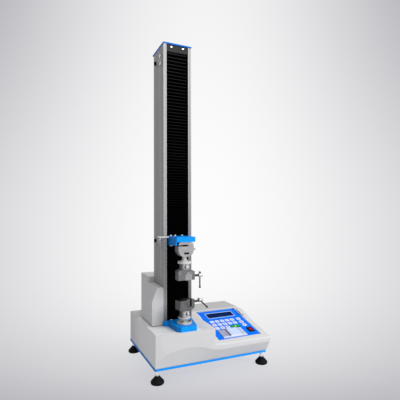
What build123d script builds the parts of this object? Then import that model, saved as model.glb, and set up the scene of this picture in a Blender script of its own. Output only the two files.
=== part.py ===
from build123d import *
import math
import os

# Single-column bench testing machine, in millimetres.
# +Z is up, +X to the operator's right, -Y towards the operator.
# The origin is on the bench, under the middle of the machine.

# Base
base_width = 500
base_depth = 400
base_y = 8
plate_bottom = 52
plate_thick = 8
plate_top = plate_bottom + plate_thick
platform_top = 189
housing_left = -base_width / 2 + 2
housing_back = base_y + base_depth / 2 - 2
housing_right = 254.5
front_left_y = -190
front_bow = 27
wall = 6

# Levelling feet
side_foot_inset = 15
foot_inset = 18
foot_radius = 26
stud_radius = 5
stud_top = plate_top + 14
foot_x = base_width / 2 - side_foot_inset
foot_front_y = base_y - base_depth / 2 + foot_inset
foot_back_y = base_y + base_depth / 2 - foot_inset

# Column
column_x = -117
column_width = 124
column_depth = 137
column_front = -83
column_back = column_front + column_depth
column_left = column_x - column_width / 2
column_right = column_x + column_width / 2
rail_width = 14
back_wall = 10
machine_height = 1367
cap_thick = 6
cap_back = 64
column_top = machine_height - cap_thick
slot_left = column_left + rail_width
slot_right = column_right - rail_width
side_slot_y = 10
end_plate_bottom = 1332

# Screw drive
screw_y = -5
screw_radius = 10
rod_radius = 7
rod_offset = 34
lower_bearing_z = 150
lower_bearing_top = lower_bearing_z + 26
upper_bearing_z = 1318
motor_y = 120
belt_bottom = 104
belt_width = 16
belt_thick = 2.2
screw_teeth = 36
motor_teeth = 18
tooth_pitch = 5
pitch_line_drop = 0.57
pulley_flange = 1.5

# Crosshead and load train
load_x = -116
load_y = -155
arm_left = -158
arm_right = -75
arm_front = -176
arm_back = -50
arm_bottom = 520
arm_top = 556
nose_bottom = 536
nose_back = -118
carriage_bottom = 478
carriage_top = 592
cell_width = 65
cell_depth = 40
cell_bottom = 477
upper_screw_z = 398
lower_screw_z = 290
lower_grip_turn = 14
upper_bar_reach = 68
lower_bar_reach = 80
lower_bar_turn = -68
jaw_gap = 2.4
seat_top = platform_top + 20

# Console
panel_left = 25
panel_right = 228
panel_back = 58
panel_back_z = 184
panel_length = 248
panel_tilt = math.degrees(math.atan(0.2285))
panel_thick = 3
key_rise = 1.4
key_rows = [100.5, 129, 157.5]
key_columns = [63, 88.4, 113.8, 139.2, 164.6]
side_key_x = 198
door_left = 86
door_right = 141
door_hinge_s = 178.8
door_hinge_h = 5.2

panel_plane = Plane(
    origin=(0, panel_back, panel_back_z),
    x_dir=(1, 0, 0),
    z_dir=(0, -math.sin(math.radians(panel_tilt)), math.cos(math.radians(panel_tilt))),
)


# Shared shapes

def block(x0, x1, y0, y1, z0, z1):
    """A box between two corners."""
    centre = Pos((x0 + x1) / 2, (y0 + y1) / 2, (z0 + z1) / 2)
    return centre * Box(x1 - x0, y1 - y0, z1 - z0)


def post(x, y, z0, z1, radius):
    """An upright cylinder."""
    return Pos(x, y, (z0 + z1) / 2) * Cylinder(radius, z1 - z0)


def bar_x(x0, x1, y, z, radius):
    """A cylinder along X."""
    return Pos((x0 + x1) / 2, y, z) * Rot(0, 90, 0) * Cylinder(radius, x1 - x0)


def bar_y(x, y0, y1, z, radius):
    """A cylinder along Y."""
    return Pos(x, (y0 + y1) / 2, z) * Rot(90, 0, 0) * Cylinder(radius, y1 - y0)


def side_profile(points, x0, x1):
    """A (y, z) outline drawn from the side and carried along X."""
    face = make_face(Polyline(*[(x0, y, z) for y, z in points], close=True))
    return extrude(face, amount=x1 - x0, dir=(1, 0, 0))


def front_profile(points, y0, y1):
    """An (x, z) outline drawn from the front and carried along Y."""
    face = make_face(Polyline(*[(x, y0, z) for x, z in points], close=True))
    return extrude(face, amount=y1 - y0, dir=(0, 1, 0))


def plan_profile(points, z0, z1):
    """An (x, y) outline drawn from above and carried up."""
    face = make_face(Polyline(*[(x, y, z0) for x, y in points], close=True))
    return extrude(face, amount=z1 - z0, dir=(0, 0, 1))


def on_panel(x0, x1, s0, s1, h0, h1, corner=0):
    """A box on the sloping panel: x across, s down the slope, h above the face."""
    box = block(x0, x1, -s1, -s0, h0, h1)
    if corner:
        box = fillet(box.edges().filter_by(Axis.Z), corner)
    return panel_plane.location * box


def turned(points, x, y):
    """A solid of revolution about an upright axis, from its (r, z) outline."""
    face = make_face(Polyline(*[(r, 0, z) for r, z in points], close=True))
    return Pos(x, y, 0) * revolve(face, Axis.Z)


def hexagon(x, y, z0, z1, across_flats):
    """An upright hexagonal nut blank."""
    face = RegularPolygon(across_flats / 2, 6, major_radius=False)
    return Pos(x, y, z0) * extrude(face, amount=z1 - z0)


# Base plate and feet

def make_base_plate():
    plate = block(
        -base_width / 2, base_width / 2,
        base_y - base_depth / 2, base_y + base_depth / 2,
        plate_bottom, plate_top,
    )
    plate = fillet(plate.edges().filter_by(Axis.Z), 8)
    for x in (-foot_x, foot_x):
        for y in (foot_front_y, foot_back_y):
            plate -= post(x, y, plate_bottom, plate_top, stud_radius + 0.1)
    return plate


def make_foot(x, y):
    """Rubber-faced pad, hexagon for the spanner and threaded stud."""
    pad = turned([
        (0, 0), (foot_radius - 2, 0), (foot_radius, 3), (foot_radius, 9),
        (foot_radius - 4, 14), (16, 20), (11, 26), (9.5, 30), (0, 30),
    ], x, y)
    nut = hexagon(x, y, 30, 36, 15)
    cone = turned([(0, 36), (7.5, 36), (6.8, 39), (stud_radius, 44), (0, 44)], x, y)
    stud = post(x, y, 44, stud_top, stud_radius)
    return pad + nut + cone + stud


# Base housing

def front_y(x):
    """The bowed front of the housing, further forward to the right."""
    share = (x - housing_left) / (housing_right - housing_left)
    return front_left_y - front_bow * math.sin(share * math.pi / 2) ** 0.7


def front_sections(places, top_points):
    """Cross-sections of the housing, from its back wall to the creased front."""
    sections = []
    for x, crease_z in places:
        front = front_y(x)
        points = [(housing_back, plate_top), (front_left_y, plate_top), (front, crease_z)]
        points += top_points(front)
        sections.append(make_face(Polyline(*[(x, y, z) for y, z in points], close=True)))
    return sections


def platform_outline(front):
    return [(front, platform_top), (housing_back, platform_top)]


def console_outline(front):
    return [
        (front, 120), (front + 5, 126), (-127, 145), (-60, 160), (0, 182), (40, 188),
        (104, platform_top), (housing_back, platform_top),
    ]


def make_platform():
    """The raised left half under the column, with a rounded front corner."""
    places = [
        (housing_left, 84), (-222, 101), (-195, 114.5), (-167, 122), (-140, 126.5), (-113, 128),
        (-86, 127), (-65, 123.5), (-45, 118.5), (-27, 112), (-10, 107), (7, 104), (24, 103),
    ]
    body = loft(front_sections(places, platform_outline), ruled=True)
    corner = make_face(Polyline(
        (-260, -216), (-2, -216), (4, 215), (-260, 215), close=True))
    corner = fillet(corner.vertices().sort_by_distance((-2, -216))[0], 14)
    return body & Pos(0, 0, plate_top) * extrude(corner, amount=150)


def make_console():
    """The sloping right half, overhanging the base plate at the right."""
    places = [
        (-45, 118.5), (-27, 112), (-10, 107), (7, 104), (24, 103), (67, 104.5), (110, 105),
        (150, 105), (190, 105), (housing_right, 105),
    ]
    body = loft(front_sections(places, console_outline), ruled=True)
    overhang = front_profile(
        [
            (249, plate_top - 2), (249.5, 92), (housing_right, 120), (270, 120),
            (270, plate_top - 2),
        ], -230, 215)
    return body - overhang


def make_base_housing():
    housing = make_platform() + make_console()
    housing -= block(housing_left + wall, -20, -180, housing_back - wall, 58, platform_top - wall)
    housing -= side_profile([
        (housing_back - wall, 58), (housing_back - wall, 180), (60, 172), (-170, 119),
        (-196, 112), (-196, 96), (-180, 58),
    ], -30, 249 - wall)
    housing -= on_panel(panel_left - 1, panel_right + 1, -1, panel_length + 1, -panel_thick, 40)
    housing -= on_panel(panel_left + 6, panel_right - 6, 6, panel_length - 6, -30, 0)
    housing -= panel_plane.location * front_profile(
        [(panel_right + 1, 0), (panel_right + 9, 8), (panel_right + 1, 8)],
        -panel_length - 1, 1)
    housing -= block(
        column_left - 0.3, column_right + 0.3, column_front - 0.3, column_back + 0.3, 180, 200)
    housing -= post(load_x, load_y, 180, 200, 22.3)
    housing -= post(column_x, motor_y, 180, 200, 20)
    housing -= block(136, 164, 190, 210, 100, 120)
    for x in (-foot_x, foot_x):
        for y in (foot_front_y, foot_back_y):
            housing -= post(x, y, plate_top, stud_top + 10, stud_radius + 2.5)
    return housing


# Column

def switch_slot():
    """T-slot for the limit switches, along the column's left side."""
    mouth = block(
        column_left, column_left + 3, side_slot_y - 4, side_slot_y + 4, plate_top, column_top)
    pocket = block(
        column_left + 3, column_left + 9, side_slot_y - 7.5, side_slot_y + 7.5,
        plate_top, column_top)
    return mouth + pocket


def make_column_profile():
    """Extruded channel, open at the front, with a T-slot and shallow flutes."""
    column = block(column_left, column_right, column_front, column_back, plate_top, column_top)
    column -= block(
        slot_left, slot_right, column_front, column_back - back_wall, plate_top, column_top)
    column -= switch_slot()
    for side in (-1, 1):
        outer = column_x + side * column_width / 2
        for y in (-60, -25):
            flute = sorted([outer, outer - side * 1.5])
            column -= block(flute[0], flute[1], y - 2, y + 2, plate_top, column_top)
        rail_middle = outer - side * rail_width / 2
        column -= block(
            rail_middle - 1, rail_middle + 1, column_front, column_front + 1.5,
            plate_top, column_top)
    belt_window = block(
        slot_left, slot_right, column_back - back_wall, column_back, 94, 130)
    return column - belt_window


def make_column_top_plate():
    plate = block(
        column_left - 2, column_right + 2, column_front - 2, cap_back,
        column_top, machine_height)
    return chamfer(plate.edges().group_by(Axis.Z)[-1], 1)


def make_bellows_end_plate():
    """Plate that closes the top of the front slot."""
    plate = block(slot_left, slot_right, -80, -73, end_plate_bottom, column_top)
    for x in (column_x - 27, column_x + 25):
        plate -= bar_y(x, -81, -76, 1352, 5)
    return plate


def make_bellows(z0, z1, folds):
    """Pleated cover strip: a folded sheet, two leaves to a fold."""
    pitch = (z1 - z0) / folds
    front = -76
    depth = 21
    sheet = 2.2
    outer = []
    inner = []
    for fold in range(folds):
        z = z0 + fold * pitch
        outer += [(front + depth, z), (front, z + pitch / 2)]
        inner += [(front + depth + sheet, z), (front + sheet, z + pitch / 2)]
    outer.append((front + depth, z1))
    inner.append((front + depth + sheet, z1))
    return side_profile(outer + inner[::-1], slot_left + 4.5, slot_right - 5)


# Screw drive inside the column

def make_guide_rods():
    rods = []
    for side in (-1, 1):
        x = column_x + side * rod_offset
        rods.append(post(x, screw_y, lower_bearing_z, upper_bearing_z + 24, rod_radius))
    return Compound(children=rods)


def make_bearing_block(front, z0, z1, journal_radius):
    body = block(slot_left, slot_right, front, column_back - back_wall, z0, z1)
    body -= post(column_x, screw_y, z0, z1, journal_radius + 0.05)
    for side in (-1, 1):
        body -= post(column_x + side * rod_offset, screw_y, z0, z1, rod_radius)
    return body


def make_bearing_blocks():
    lower = make_bearing_block(-79, lower_bearing_z, lower_bearing_top, 7.5)
    upper = make_bearing_block(-52, upper_bearing_z, upper_bearing_z + 24, 6)
    return Compound(children=[lower, upper])


def make_ball_screw():
    thread = post(column_x, screw_y, 182, 1312, screw_radius)
    thread = chamfer(thread.edges().filter_by(GeomType.CIRCLE), 1.5)
    lower_journal = post(column_x, screw_y, 98, 182, 7.5)
    upper_journal = post(column_x, screw_y, 1312, 1338, 6)
    return thread + lower_journal + upper_journal


def pulley_radius(teeth):
    return teeth * tooth_pitch / math.pi / 2 - pitch_line_drop


def make_pulley(y, teeth, bore_radius):
    """Toothed pulley with two flanges."""
    radius = pulley_radius(teeth)
    top = belt_bottom + belt_width
    pulley = post(column_x, y, belt_bottom, top, radius)
    groove = post(column_x + radius, y, belt_bottom, top, 1.5)
    for tooth in range(teeth):
        turn = Pos(column_x, y, 0) * Rot(0, 0, tooth * 360 / teeth) * Pos(-column_x, -y, 0)
        pulley -= turn * groove
    pulley += post(column_x, y, belt_bottom - pulley_flange, belt_bottom, radius + 3)
    pulley += post(column_x, y, top, top + pulley_flange, radius + 3)
    return pulley - post(column_x, y, belt_bottom - 5, top + 5, bore_radius)


def belt_loop(clearance):
    """Outline of a belt round both pulleys, at a distance from their rims."""
    large = Pos(column_x, screw_y) * Circle(pulley_radius(screw_teeth) + clearance)
    small = Pos(column_x, motor_y) * Circle(pulley_radius(motor_teeth) + clearance)
    return make_hull(large.edges() + small.edges())


def make_timing_belt():
    loop = belt_loop(0.2 + belt_thick) - belt_loop(0.2)
    return Pos(0, 0, belt_bottom + 0.5) * extrude(loop, amount=belt_width - 1)


def make_motor_pulley():
    shaft = post(column_x, motor_y, belt_bottom - 4, 240, 6)
    return make_pulley(motor_y, motor_teeth, 6) + shaft


def make_drive_motor():
    """Servo motor on its mounting plate, shaft down, encoder on top."""
    plate = block(column_x - 48, column_x + 48, column_back, 166, platform_top, 200)
    flange = block(column_x - 43, column_x + 43, motor_y - 43, motor_y + 43, 200, 212)
    flange = fillet(flange.edges().filter_by(Axis.Z), 8)
    can = post(column_x, motor_y, 212, 322, 40)
    end_cap = post(column_x, motor_y, 322, 346, 33)
    motor = plate + flange + can + end_cap
    return motor - post(column_x, motor_y, platform_top, 246, 6.3)


# Motor cover

def cover_shape(inset, drop):
    """Stepped cover: a low part beside the column and a box behind it."""
    low = front_profile([
        (-229 + inset, platform_top - drop), (-229 + inset, 288), (-208 + inset, 345 - inset),
        (column_left - 0.4 + inset, 345 - inset), (column_left - 0.4 + inset, platform_top - drop),
    ], column_front + inset, 76 - inset)
    tall = block(
        -201 + inset, -33 - inset, column_back + 0.4 + inset, 190 - inset,
        platform_top - drop, 371 - inset)
    return low, tall


def make_motor_cover():
    low, tall = cover_shape(0, 0)
    tall = fillet(tall.edges().filter_by(Axis.Z).sort_by(Axis.Y)[-2:], 6)
    cover = low + tall
    low_inside, tall_inside = cover_shape(2.5, 10)
    cover -= low_inside - block(column_left - 0.4, 0, -100, 80, 180, 400)
    cover -= tall_inside
    cover -= block(-199, column_left - 3, column_back - 5, 80, 180, 342)
    cover -= block(column_x - 49, column_x + 49, column_back, 80, 180, 201)
    for vent in range(7):
        z = 250 + vent * 12
        cover -= block(column_x - 45, column_x + 45, 180, 200, z, z + 4.5)
    foot = block(-240, -20, -100, 200, platform_top, platform_top + 3)
    low_core, tall_core = cover_shape(1.2, 0)
    cover -= foot - low_core - tall_core
    return cover


# Seat of the lower grip

def make_lower_seat():
    """Tapered seat in front of the column, on a pedestal from the base plate."""
    outline = [
        (-183, -84), (-183, -95), (-167, -105), (-161, -188), (-148, -202),
        (-86, -202), (-78, -194), (-62, -115), (-59, -84),
    ]
    seat = plan_profile(outline, platform_top, seat_top)
    seat = fillet(seat.edges().group_by(Axis.Z)[-1], 1.5)
    return seat + post(load_x, load_y, plate_top, platform_top, 22)


# Crosshead

def make_crosshead_arm():
    """Arm that carries the load cell: deep at the column, thinner at the nose."""
    arm = side_profile([
        (arm_back, arm_bottom), (arm_back, arm_top), (arm_front, arm_top),
        (arm_front, nose_bottom), (nose_back, nose_bottom), (nose_back - 6, arm_bottom),
    ], arm_left, arm_right)
    upright = arm.edges().filter_by(Axis.Z).sort_by(Axis.Y)[:2]
    arm = fillet(upright, 4)
    arm += side_profile([
        (nose_back, arm_bottom), (arm_front + 4, arm_bottom + 3), (arm_front + 4, nose_bottom),
        (nose_back, nose_bottom),
    ], arm_left, arm_left + 4)
    arm -= block(arm_left, -128, -92, -86, arm_top - 6, arm_top)
    return arm


def make_carriage():
    """Carriage on the guide rods, with the ball nut on its underside."""
    body = block(column_x - 44, column_x + 44, arm_back, 34, carriage_bottom, carriage_top)
    body = chamfer(body.edges().filter_by(Axis.Z).sort_by(Axis.Y)[-2:], 8)
    for side in (-1, 1):
        x = column_x + side * rod_offset
        body -= post(x, screw_y, carriage_bottom, carriage_top, rod_radius + 0.05)
    body -= post(column_x, screw_y, carriage_bottom, carriage_top, 17)
    nut = post(column_x, screw_y, carriage_bottom - 12, carriage_bottom, 25)
    nut += post(column_x, screw_y, carriage_bottom, carriage_bottom + 45, 17)
    nut -= post(column_x, screw_y, carriage_bottom - 12, carriage_top, screw_radius + 0.06)
    return Compound(children=[body, nut])


def make_trip_arm():
    """Bar that reaches round the column's corner to the limit switches."""
    bar = block(-200, -128, -92, -86, arm_top - 6, arm_top)
    finger = block(-200, -194, -86, -62, arm_top - 6, arm_top)
    return bar + finger


def make_load_cell():
    """Block load cell with rounded corners, two flexure slits and a connector."""
    left = load_x - cell_width / 2
    right = load_x + cell_width / 2
    cell = block(
        left, right, load_y - cell_depth / 2, load_y + cell_depth / 2, cell_bottom, nose_bottom)
    corners = cell.edges().filter_by(Axis.Y)
    cell = fillet(corners.group_by(Axis.Z)[0], 27)
    cell = fillet(cell.edges().filter_by(Axis.Y).group_by(Axis.Z)[-1], 13)
    front, back = load_y - cell_depth, load_y + cell_depth
    cell -= block(left - 1, left + 20, front, back, 520.5, 523.5)
    cell -= block(left + 18, left + 38, front, back, 518.5, 525.5)
    cell -= bar_y(left + 38, front, back, 522, 3.5)
    cell -= block(left + 24, left + 45, front, back, 487, 494.5)
    connector = bar_x(right - 2, right + 14, load_y, 506, 4)
    return cell + connector


def make_coupling(z_face, z_end, pin_z):
    """Socket for a grip's shank, with its cross pin."""
    low, high = sorted([z_face, z_end])
    shell = post(load_x, load_y, low, high, 20)
    shell = chamfer(shell.edges().filter_by(GeomType.CIRCLE), 1)
    socket_end = z_face + math.copysign(17, z_end - z_face)
    shell -= post(load_x, load_y, min(z_face, socket_end), max(z_face, socket_end), 11.2)
    pin = bar_y(load_x, load_y - 22, load_y + 22, pin_z, 4)
    head = Pos(load_x, load_y - 22, pin_z) * Sphere(7.5)
    head -= block(load_x - 10, load_x + 10, load_y - 20, load_y, pin_z - 10, pin_z + 10)
    return shell + pin + head


def make_upper_adapter():
    """Stud, lock ring and coupling between the load cell and the upper grip."""
    ring = turned([
        (0, 449), (26, 449), (27, 450), (27, 458), (26, 459), (15, 459), (9, 466),
        (9, cell_bottom), (0, cell_bottom),
    ], load_x, load_y)
    return ring + make_coupling(427, 449, upper_screw_z + 39)


def make_lower_adapter():
    """Rimmed flange, conical lock ring and coupling under the lower grip."""
    flange = turned([
        (0, seat_top), (29.5, seat_top), (30, seat_top + 1), (30, seat_top + 8),
        (29, seat_top + 9), (27, seat_top + 9), (26.5, seat_top + 4), (9.5, seat_top + 4),
        (9.5, 221), (12, 222), (26, 233), (26, 236), (0, 236),
    ], load_x, load_y)
    turn = Pos(load_x, load_y, 0) * Rot(0, 0, lower_grip_turn) * Pos(-load_x, -load_y, 0)
    return flange + turn * make_coupling(261, 236, lower_screw_z - 39)


# Grips, each drawn with its screw axis through the origin and its shank up

def grip_body_shape():
    """C-shaped frame: fixed cheek on the left, screw cheek on the right."""
    body = front_profile([
        (-33, -14), (-33, 21), (-30, 24), (-16, 29), (20, 29), (38, 20), (38, -14),
        (23.5, -14), (23.5, 13), (-1, 13), (-1, -14),
    ], -18, 18)
    body = fillet(body.edges().filter_by(Axis.Z).sort_by(Axis.X)[:2], 3)
    body += post(0, 0, 29, 43, 11)
    body -= bar_y(0, -12, 12, 39, 4.2)
    body -= bar_x(23, 39, 0, 0, 4.6)
    return body


def make_upper_grip_body():
    """Upper frame, with a guide plate screwed over the front of its jaws."""
    body = grip_body_shape()
    body += block(-3, 24.5, -19.5, -18, -14, 17.5)
    for x in (1, 20):
        body -= bar_y(x, -21, -12, 13.5, 2.4)
    return upper_grip_place * body


def grip_jaw_shape():
    """Moving jaw, with a tapped boss face for the screw."""
    jaw = block(jaw_gap - 1, 15, -16, 16, -17, 12.6)
    return chamfer(jaw.edges().filter_by(Axis.Y).sort_by(Axis.Z)[:2], 2)


def clamp_screw_shape(reach):
    """Clamp screw with a hub for the bar, so far from the grip's middle."""
    shaft = bar_x(15, reach - 7, 0, 0, 4.5)
    hub = bar_x(reach - 7, reach + 12, 0, 0, 7.5)
    hub = chamfer(hub.edges().filter_by(GeomType.CIRCLE), 1.2)
    return shaft + hub - post(reach, 0, -9, 9, 2.85)


def tommy_bar_shape(reach):
    """Sliding bar with a ball at each end, resting on its upper ball."""
    rod = post(reach, 0, -49, 10.9, 2.75)
    upper_ball = Pos(reach, 0, 10.9) * Sphere(4.4)
    lower_ball = Pos(reach, 0, -49) * Sphere(4.4)
    return rod + upper_ball + lower_ball


upper_grip_place = Pos(load_x, load_y, upper_screw_z)
lower_grip_place = Pos(load_x, load_y, lower_screw_z) * Rot(0, 0, lower_grip_turn)
upside_down = Rot(180, 0, 0)
bar_turn = Rot(lower_bar_turn, 0, 0)


# Limit switches on the side of the column

def make_limit_switch(z):
    """Bracket with two screws, a clamp knob and a nut in the T-slot."""
    outer = column_left - 0.05
    bracket = side_profile([
        (18, z - 9), (18, z + 9), (-36, z + 9), (-40, z + 16), (-62, z + 16),
        (-62, z - 32), (-46, z - 32), (-34, z - 9),
    ], outer - 3, outer)
    for y, dz in ((-51, 9), (-54, -24)):
        bracket += bar_x(outer - 6, outer - 3, y, z + dz, 5)
    knob = bar_x(outer - 11, outer - 3, side_slot_y, z, 7)
    knob = fillet(knob.edges().filter_by(GeomType.CIRCLE), 1.2)
    stem = bar_x(outer - 3, column_left + 4, side_slot_y, z, 3)
    nut = block(column_left + 3.2, column_left + 8, side_slot_y - 7, side_slot_y + 7, z - 9, z + 9)
    return bracket + knob + stem + nut


# Console pieces

key_size = (19, 20)
wide_key = 44


def key_places():
    """(name, x, s, width) of every key on the panel."""
    places = []
    number = 1
    for row, s in enumerate(key_rows):
        for column, x in enumerate(key_columns):
            if row == 2 and column > 2:
                continue
            places.append((f"keypad_key_{number:02d}", x, s, key_size[0]))
            number += 1
    places.append(("start_key", (key_columns[3] + key_columns[4]) / 2, key_rows[2], wide_key))
    for name, s in zip(("up_key", "stop_key", "down_key"), key_rows):
        places.append((name, side_key_x, s, key_size[0]))
    return places


def make_key(x, s, width):
    """Rounded key cap with a retaining flange under the panel."""
    half = width / 2
    cap = on_panel(x - half, x + half, s - 10, s + 10, -panel_thick - 1.5, key_rise, 3)
    flange = on_panel(
        x - half - 1.5, x + half + 1.5, s - 11.5, s + 11.5, -panel_thick - 1.5,
        -panel_thick - 0.05)
    return cap + flange


def make_control_panel():
    """Front plate with openings for the display, keys, printer and switch."""
    panel = block(panel_left, panel_right, -panel_length, 0, -panel_thick, 0)
    panel = panel_plane.location * chamfer(panel.edges().filter_by(Axis.Z), 8)
    panel -= on_panel(61.8, 197.2, 22.8, 68.2, -10, 1)
    for _, x, s, width in key_places():
        half = width / 2 + 0.4
        panel -= on_panel(x - half, x + half, s - 10.4, s + 10.4, -10, 1, 3.2)
    panel -= on_panel(door_left - 2, door_right + 2, 180, 236, -10, 1)
    panel -= on_panel(193, 213, 188, 215, -10, 1)
    return panel


def make_lcd_display():
    """Bezel, glass and the module behind them."""
    bezel = on_panel(60, 199, 21, 70, 0, 1.6)
    bezel -= on_panel(63, 196, 24, 67, -1, 3)
    module = on_panel(62, 197, 23, 68, -9, 0)
    glass_well = on_panel(63, 196, 24, 67, -0.8, 1)
    return bezel + module - glass_well


def make_printer_frame():
    """Printer face plate with the paper bay under its door."""
    plate = on_panel(54, 166, 176, 240, 0, 3)
    bay = on_panel(door_left - 1.8, door_right + 1.8, 180.2, 235.8, -42, 0)
    body = plate + bay - on_panel(door_left + 2, door_right - 2, 184, 228, -39, 4)
    for x in (door_left - 3.5, door_right + 0.3):
        body += on_panel(x, x + 3.2, 176, 181, 3, 7.4)
    for x in (door_left - 1, door_right - 2.7):
        body += panel_plane.location * bar_x(x, x + 3.7, -door_hinge_s, door_hinge_h, 1)
    return body


def make_printer_door():
    """Raised lid over the paper bay, turning on its back edge."""
    lid = front_profile([
        (door_left, 3.1), (door_right, 3.1), (door_right, 6.5), (door_right - 4, 9),
        (door_left + 8, 9), (door_left + 1.5, 5),
    ], -231, -182)
    hollow = block(door_left + 6, door_right - 6, -228, -185, 3, 7.4)
    barrel = bar_x(door_left, door_right, -door_hinge_s, door_hinge_h, 2)
    web = block(door_left + 2, door_right, -183, -door_hinge_s, 4.2, 5.6)
    bore = bar_x(door_left - 5, door_right + 5, -door_hinge_s, door_hinge_h, 1.05)
    return panel_plane.location * (lid - hollow + barrel + web - bore)


def make_switch_bezel():
    bezel = on_panel(190, 216, 184, 219, 0, 3)
    bezel += on_panel(193.2, 212.8, 188.2, 214.8, -22, 0)
    return bezel - on_panel(194.6, 211.4, 189.4, 213.6, -20, 4)


def make_power_rocker():
    """Rocker with its two faces at an angle, round underneath."""
    profile = Polygon(
        (-11, -14), (11, -14), (10.6, 3.6), (0, 1.6), (-9.6, 6.4), (-11, 5), align=None)
    profile &= Circle(11.6)
    across = Plane(origin=(195, -201.5, -1), x_dir=(0, 1, 0), z_dir=(1, 0, 0))
    return panel_plane.location * across.location * extrude(profile, amount=16)


def make_mains_inlet():
    """Three-pin appliance inlet in the back wall."""
    body = block(136.2, 163.8, 184, housing_back, 100.2, 119.8)
    body += block(131, 169, housing_back, housing_back + 2, 97, 123)
    body -= block(139, 161, 190, housing_back + 3, 103, 117)
    for x, z in ((144, 108), (150, 112), (156, 108)):
        body += block(x - 1, x + 1, 186, 198, z - 2, z + 2)
    return body


# All the pieces, by node name

nodes = {
    "base_plate": make_base_plate(),
    "base_housing": make_base_housing(),
    "column_profile": make_column_profile(),
    "column_top_plate": make_column_top_plate(),
    "bellows_end_plate": make_bellows_end_plate(),
    "upper_bellows": make_bellows(arm_top, end_plate_bottom, 48),
    "lower_bellows": make_bellows(lower_bearing_top, arm_bottom, 21),
    "guide_rods": make_guide_rods(),
    "bearing_blocks": make_bearing_blocks(),
    "ball_screw": make_ball_screw(),
    "screw_pulley": make_pulley(screw_y, screw_teeth, 7.5),
    "timing_belt": make_timing_belt(),
    "motor_pulley": make_motor_pulley(),
    "drive_motor": make_drive_motor(),
    "motor_cover": make_motor_cover(),
    "lower_seat": make_lower_seat(),
    "crosshead_arm": make_crosshead_arm(),
    "carriage": make_carriage(),
    "trip_arm": make_trip_arm(),
    "load_cell": make_load_cell(),
    "upper_adapter": make_upper_adapter(),
    "lower_adapter": make_lower_adapter(),
    "upper_grip_body": make_upper_grip_body(),
    "upper_jaw": upper_grip_place * grip_jaw_shape(),
    "upper_clamp_screw": upper_grip_place * clamp_screw_shape(upper_bar_reach),
    "upper_tommy_bar": upper_grip_place * tommy_bar_shape(upper_bar_reach),
    "lower_grip_body": lower_grip_place * upside_down * grip_body_shape(),
    "lower_jaw": lower_grip_place * upside_down * grip_jaw_shape(),
    "lower_clamp_screw": lower_grip_place * bar_turn * clamp_screw_shape(lower_bar_reach),
    "lower_tommy_bar": lower_grip_place * bar_turn * tommy_bar_shape(lower_bar_reach),
    "upper_limit_switch": make_limit_switch(1308),
    "lower_limit_switch": make_limit_switch(533),
    "control_panel": make_control_panel(),
    "lcd_display": make_lcd_display(),
    "printer_frame": make_printer_frame(),
    "printer_door": make_printer_door(),
    "switch_bezel": make_switch_bezel(),
    "power_rocker": make_power_rocker(),
    "mains_inlet": make_mains_inlet(),
    "front_left_foot": make_foot(-foot_x, foot_front_y),
    "front_right_foot": make_foot(foot_x, foot_front_y),
    "rear_left_foot": make_foot(-foot_x, foot_back_y),
    "rear_right_foot": make_foot(foot_x, foot_back_y),
}
for key_name, key_x, key_s, key_width in key_places():
    nodes[key_name] = make_key(key_x, key_s, key_width)

os.makedirs("parts", exist_ok=True)
for node_name, shape in nodes.items():
    export_step(shape, f"parts/{node_name}.step")
print(len(nodes), "nodes")
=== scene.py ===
import logging
import math
from collections.abc import Callable, Iterable
from dataclasses import dataclass, field
from enum import Enum

import bpy
from mathutils import Matrix, Vector
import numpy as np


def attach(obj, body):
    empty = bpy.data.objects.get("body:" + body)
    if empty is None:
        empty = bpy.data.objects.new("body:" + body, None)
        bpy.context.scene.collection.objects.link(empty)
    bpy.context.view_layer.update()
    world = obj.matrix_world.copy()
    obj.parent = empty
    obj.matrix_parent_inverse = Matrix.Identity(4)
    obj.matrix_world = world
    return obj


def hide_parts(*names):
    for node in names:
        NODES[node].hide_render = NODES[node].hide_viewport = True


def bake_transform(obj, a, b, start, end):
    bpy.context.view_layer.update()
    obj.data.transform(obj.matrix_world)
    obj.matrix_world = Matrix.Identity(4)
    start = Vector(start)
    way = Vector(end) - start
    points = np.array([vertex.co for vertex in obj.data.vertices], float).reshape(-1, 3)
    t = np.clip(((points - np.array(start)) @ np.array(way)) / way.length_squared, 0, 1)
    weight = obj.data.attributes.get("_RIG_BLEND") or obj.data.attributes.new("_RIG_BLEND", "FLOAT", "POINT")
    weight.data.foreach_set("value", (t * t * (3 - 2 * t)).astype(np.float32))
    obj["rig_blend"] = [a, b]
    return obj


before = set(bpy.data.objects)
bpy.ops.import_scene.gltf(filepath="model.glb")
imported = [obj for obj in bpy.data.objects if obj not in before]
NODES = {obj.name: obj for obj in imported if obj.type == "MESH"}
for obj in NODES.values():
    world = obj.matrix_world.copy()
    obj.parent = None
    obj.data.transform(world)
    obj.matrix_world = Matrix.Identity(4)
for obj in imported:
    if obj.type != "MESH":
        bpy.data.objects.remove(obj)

LOG = logging.getLogger("testing_machine")
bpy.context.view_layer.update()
MM = 0.001
UP, DOWN, LEFT, FORWARD = (0, 0, 1), (0, 0, -1), (-1, 0, 0), (0, -1, 0)

Colour = tuple[float, float, float]
Triple = tuple[float, float, float]
Span = tuple[float, float]
Socket = bpy.types.NodeSocket
Value = float | tuple[float, ...] | Socket


# Materials


class Axis(Enum):
    """An axis of the shared frame."""

    X = "X"
    Y = "Y"
    Z = "Z"


class Relief(Enum):
    """The fine surface of a finish: noise scale per metre and bump depth in metres."""

    PEEL = (420.0, 0.00007)
    GRAIN = (1500.0, 0.00006)
    BLASTED = (1100.0, 0.00005)
    DRAWN = (900.0, 0.00003)
    MATT = (700.0, 0.0001)

    @property
    def scale(self) -> float:
        """How many features there are to a metre."""
        return self.value[0]

    @property
    def depth(self) -> float:
        """How deep the features are."""
        return self.value[1]


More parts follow.
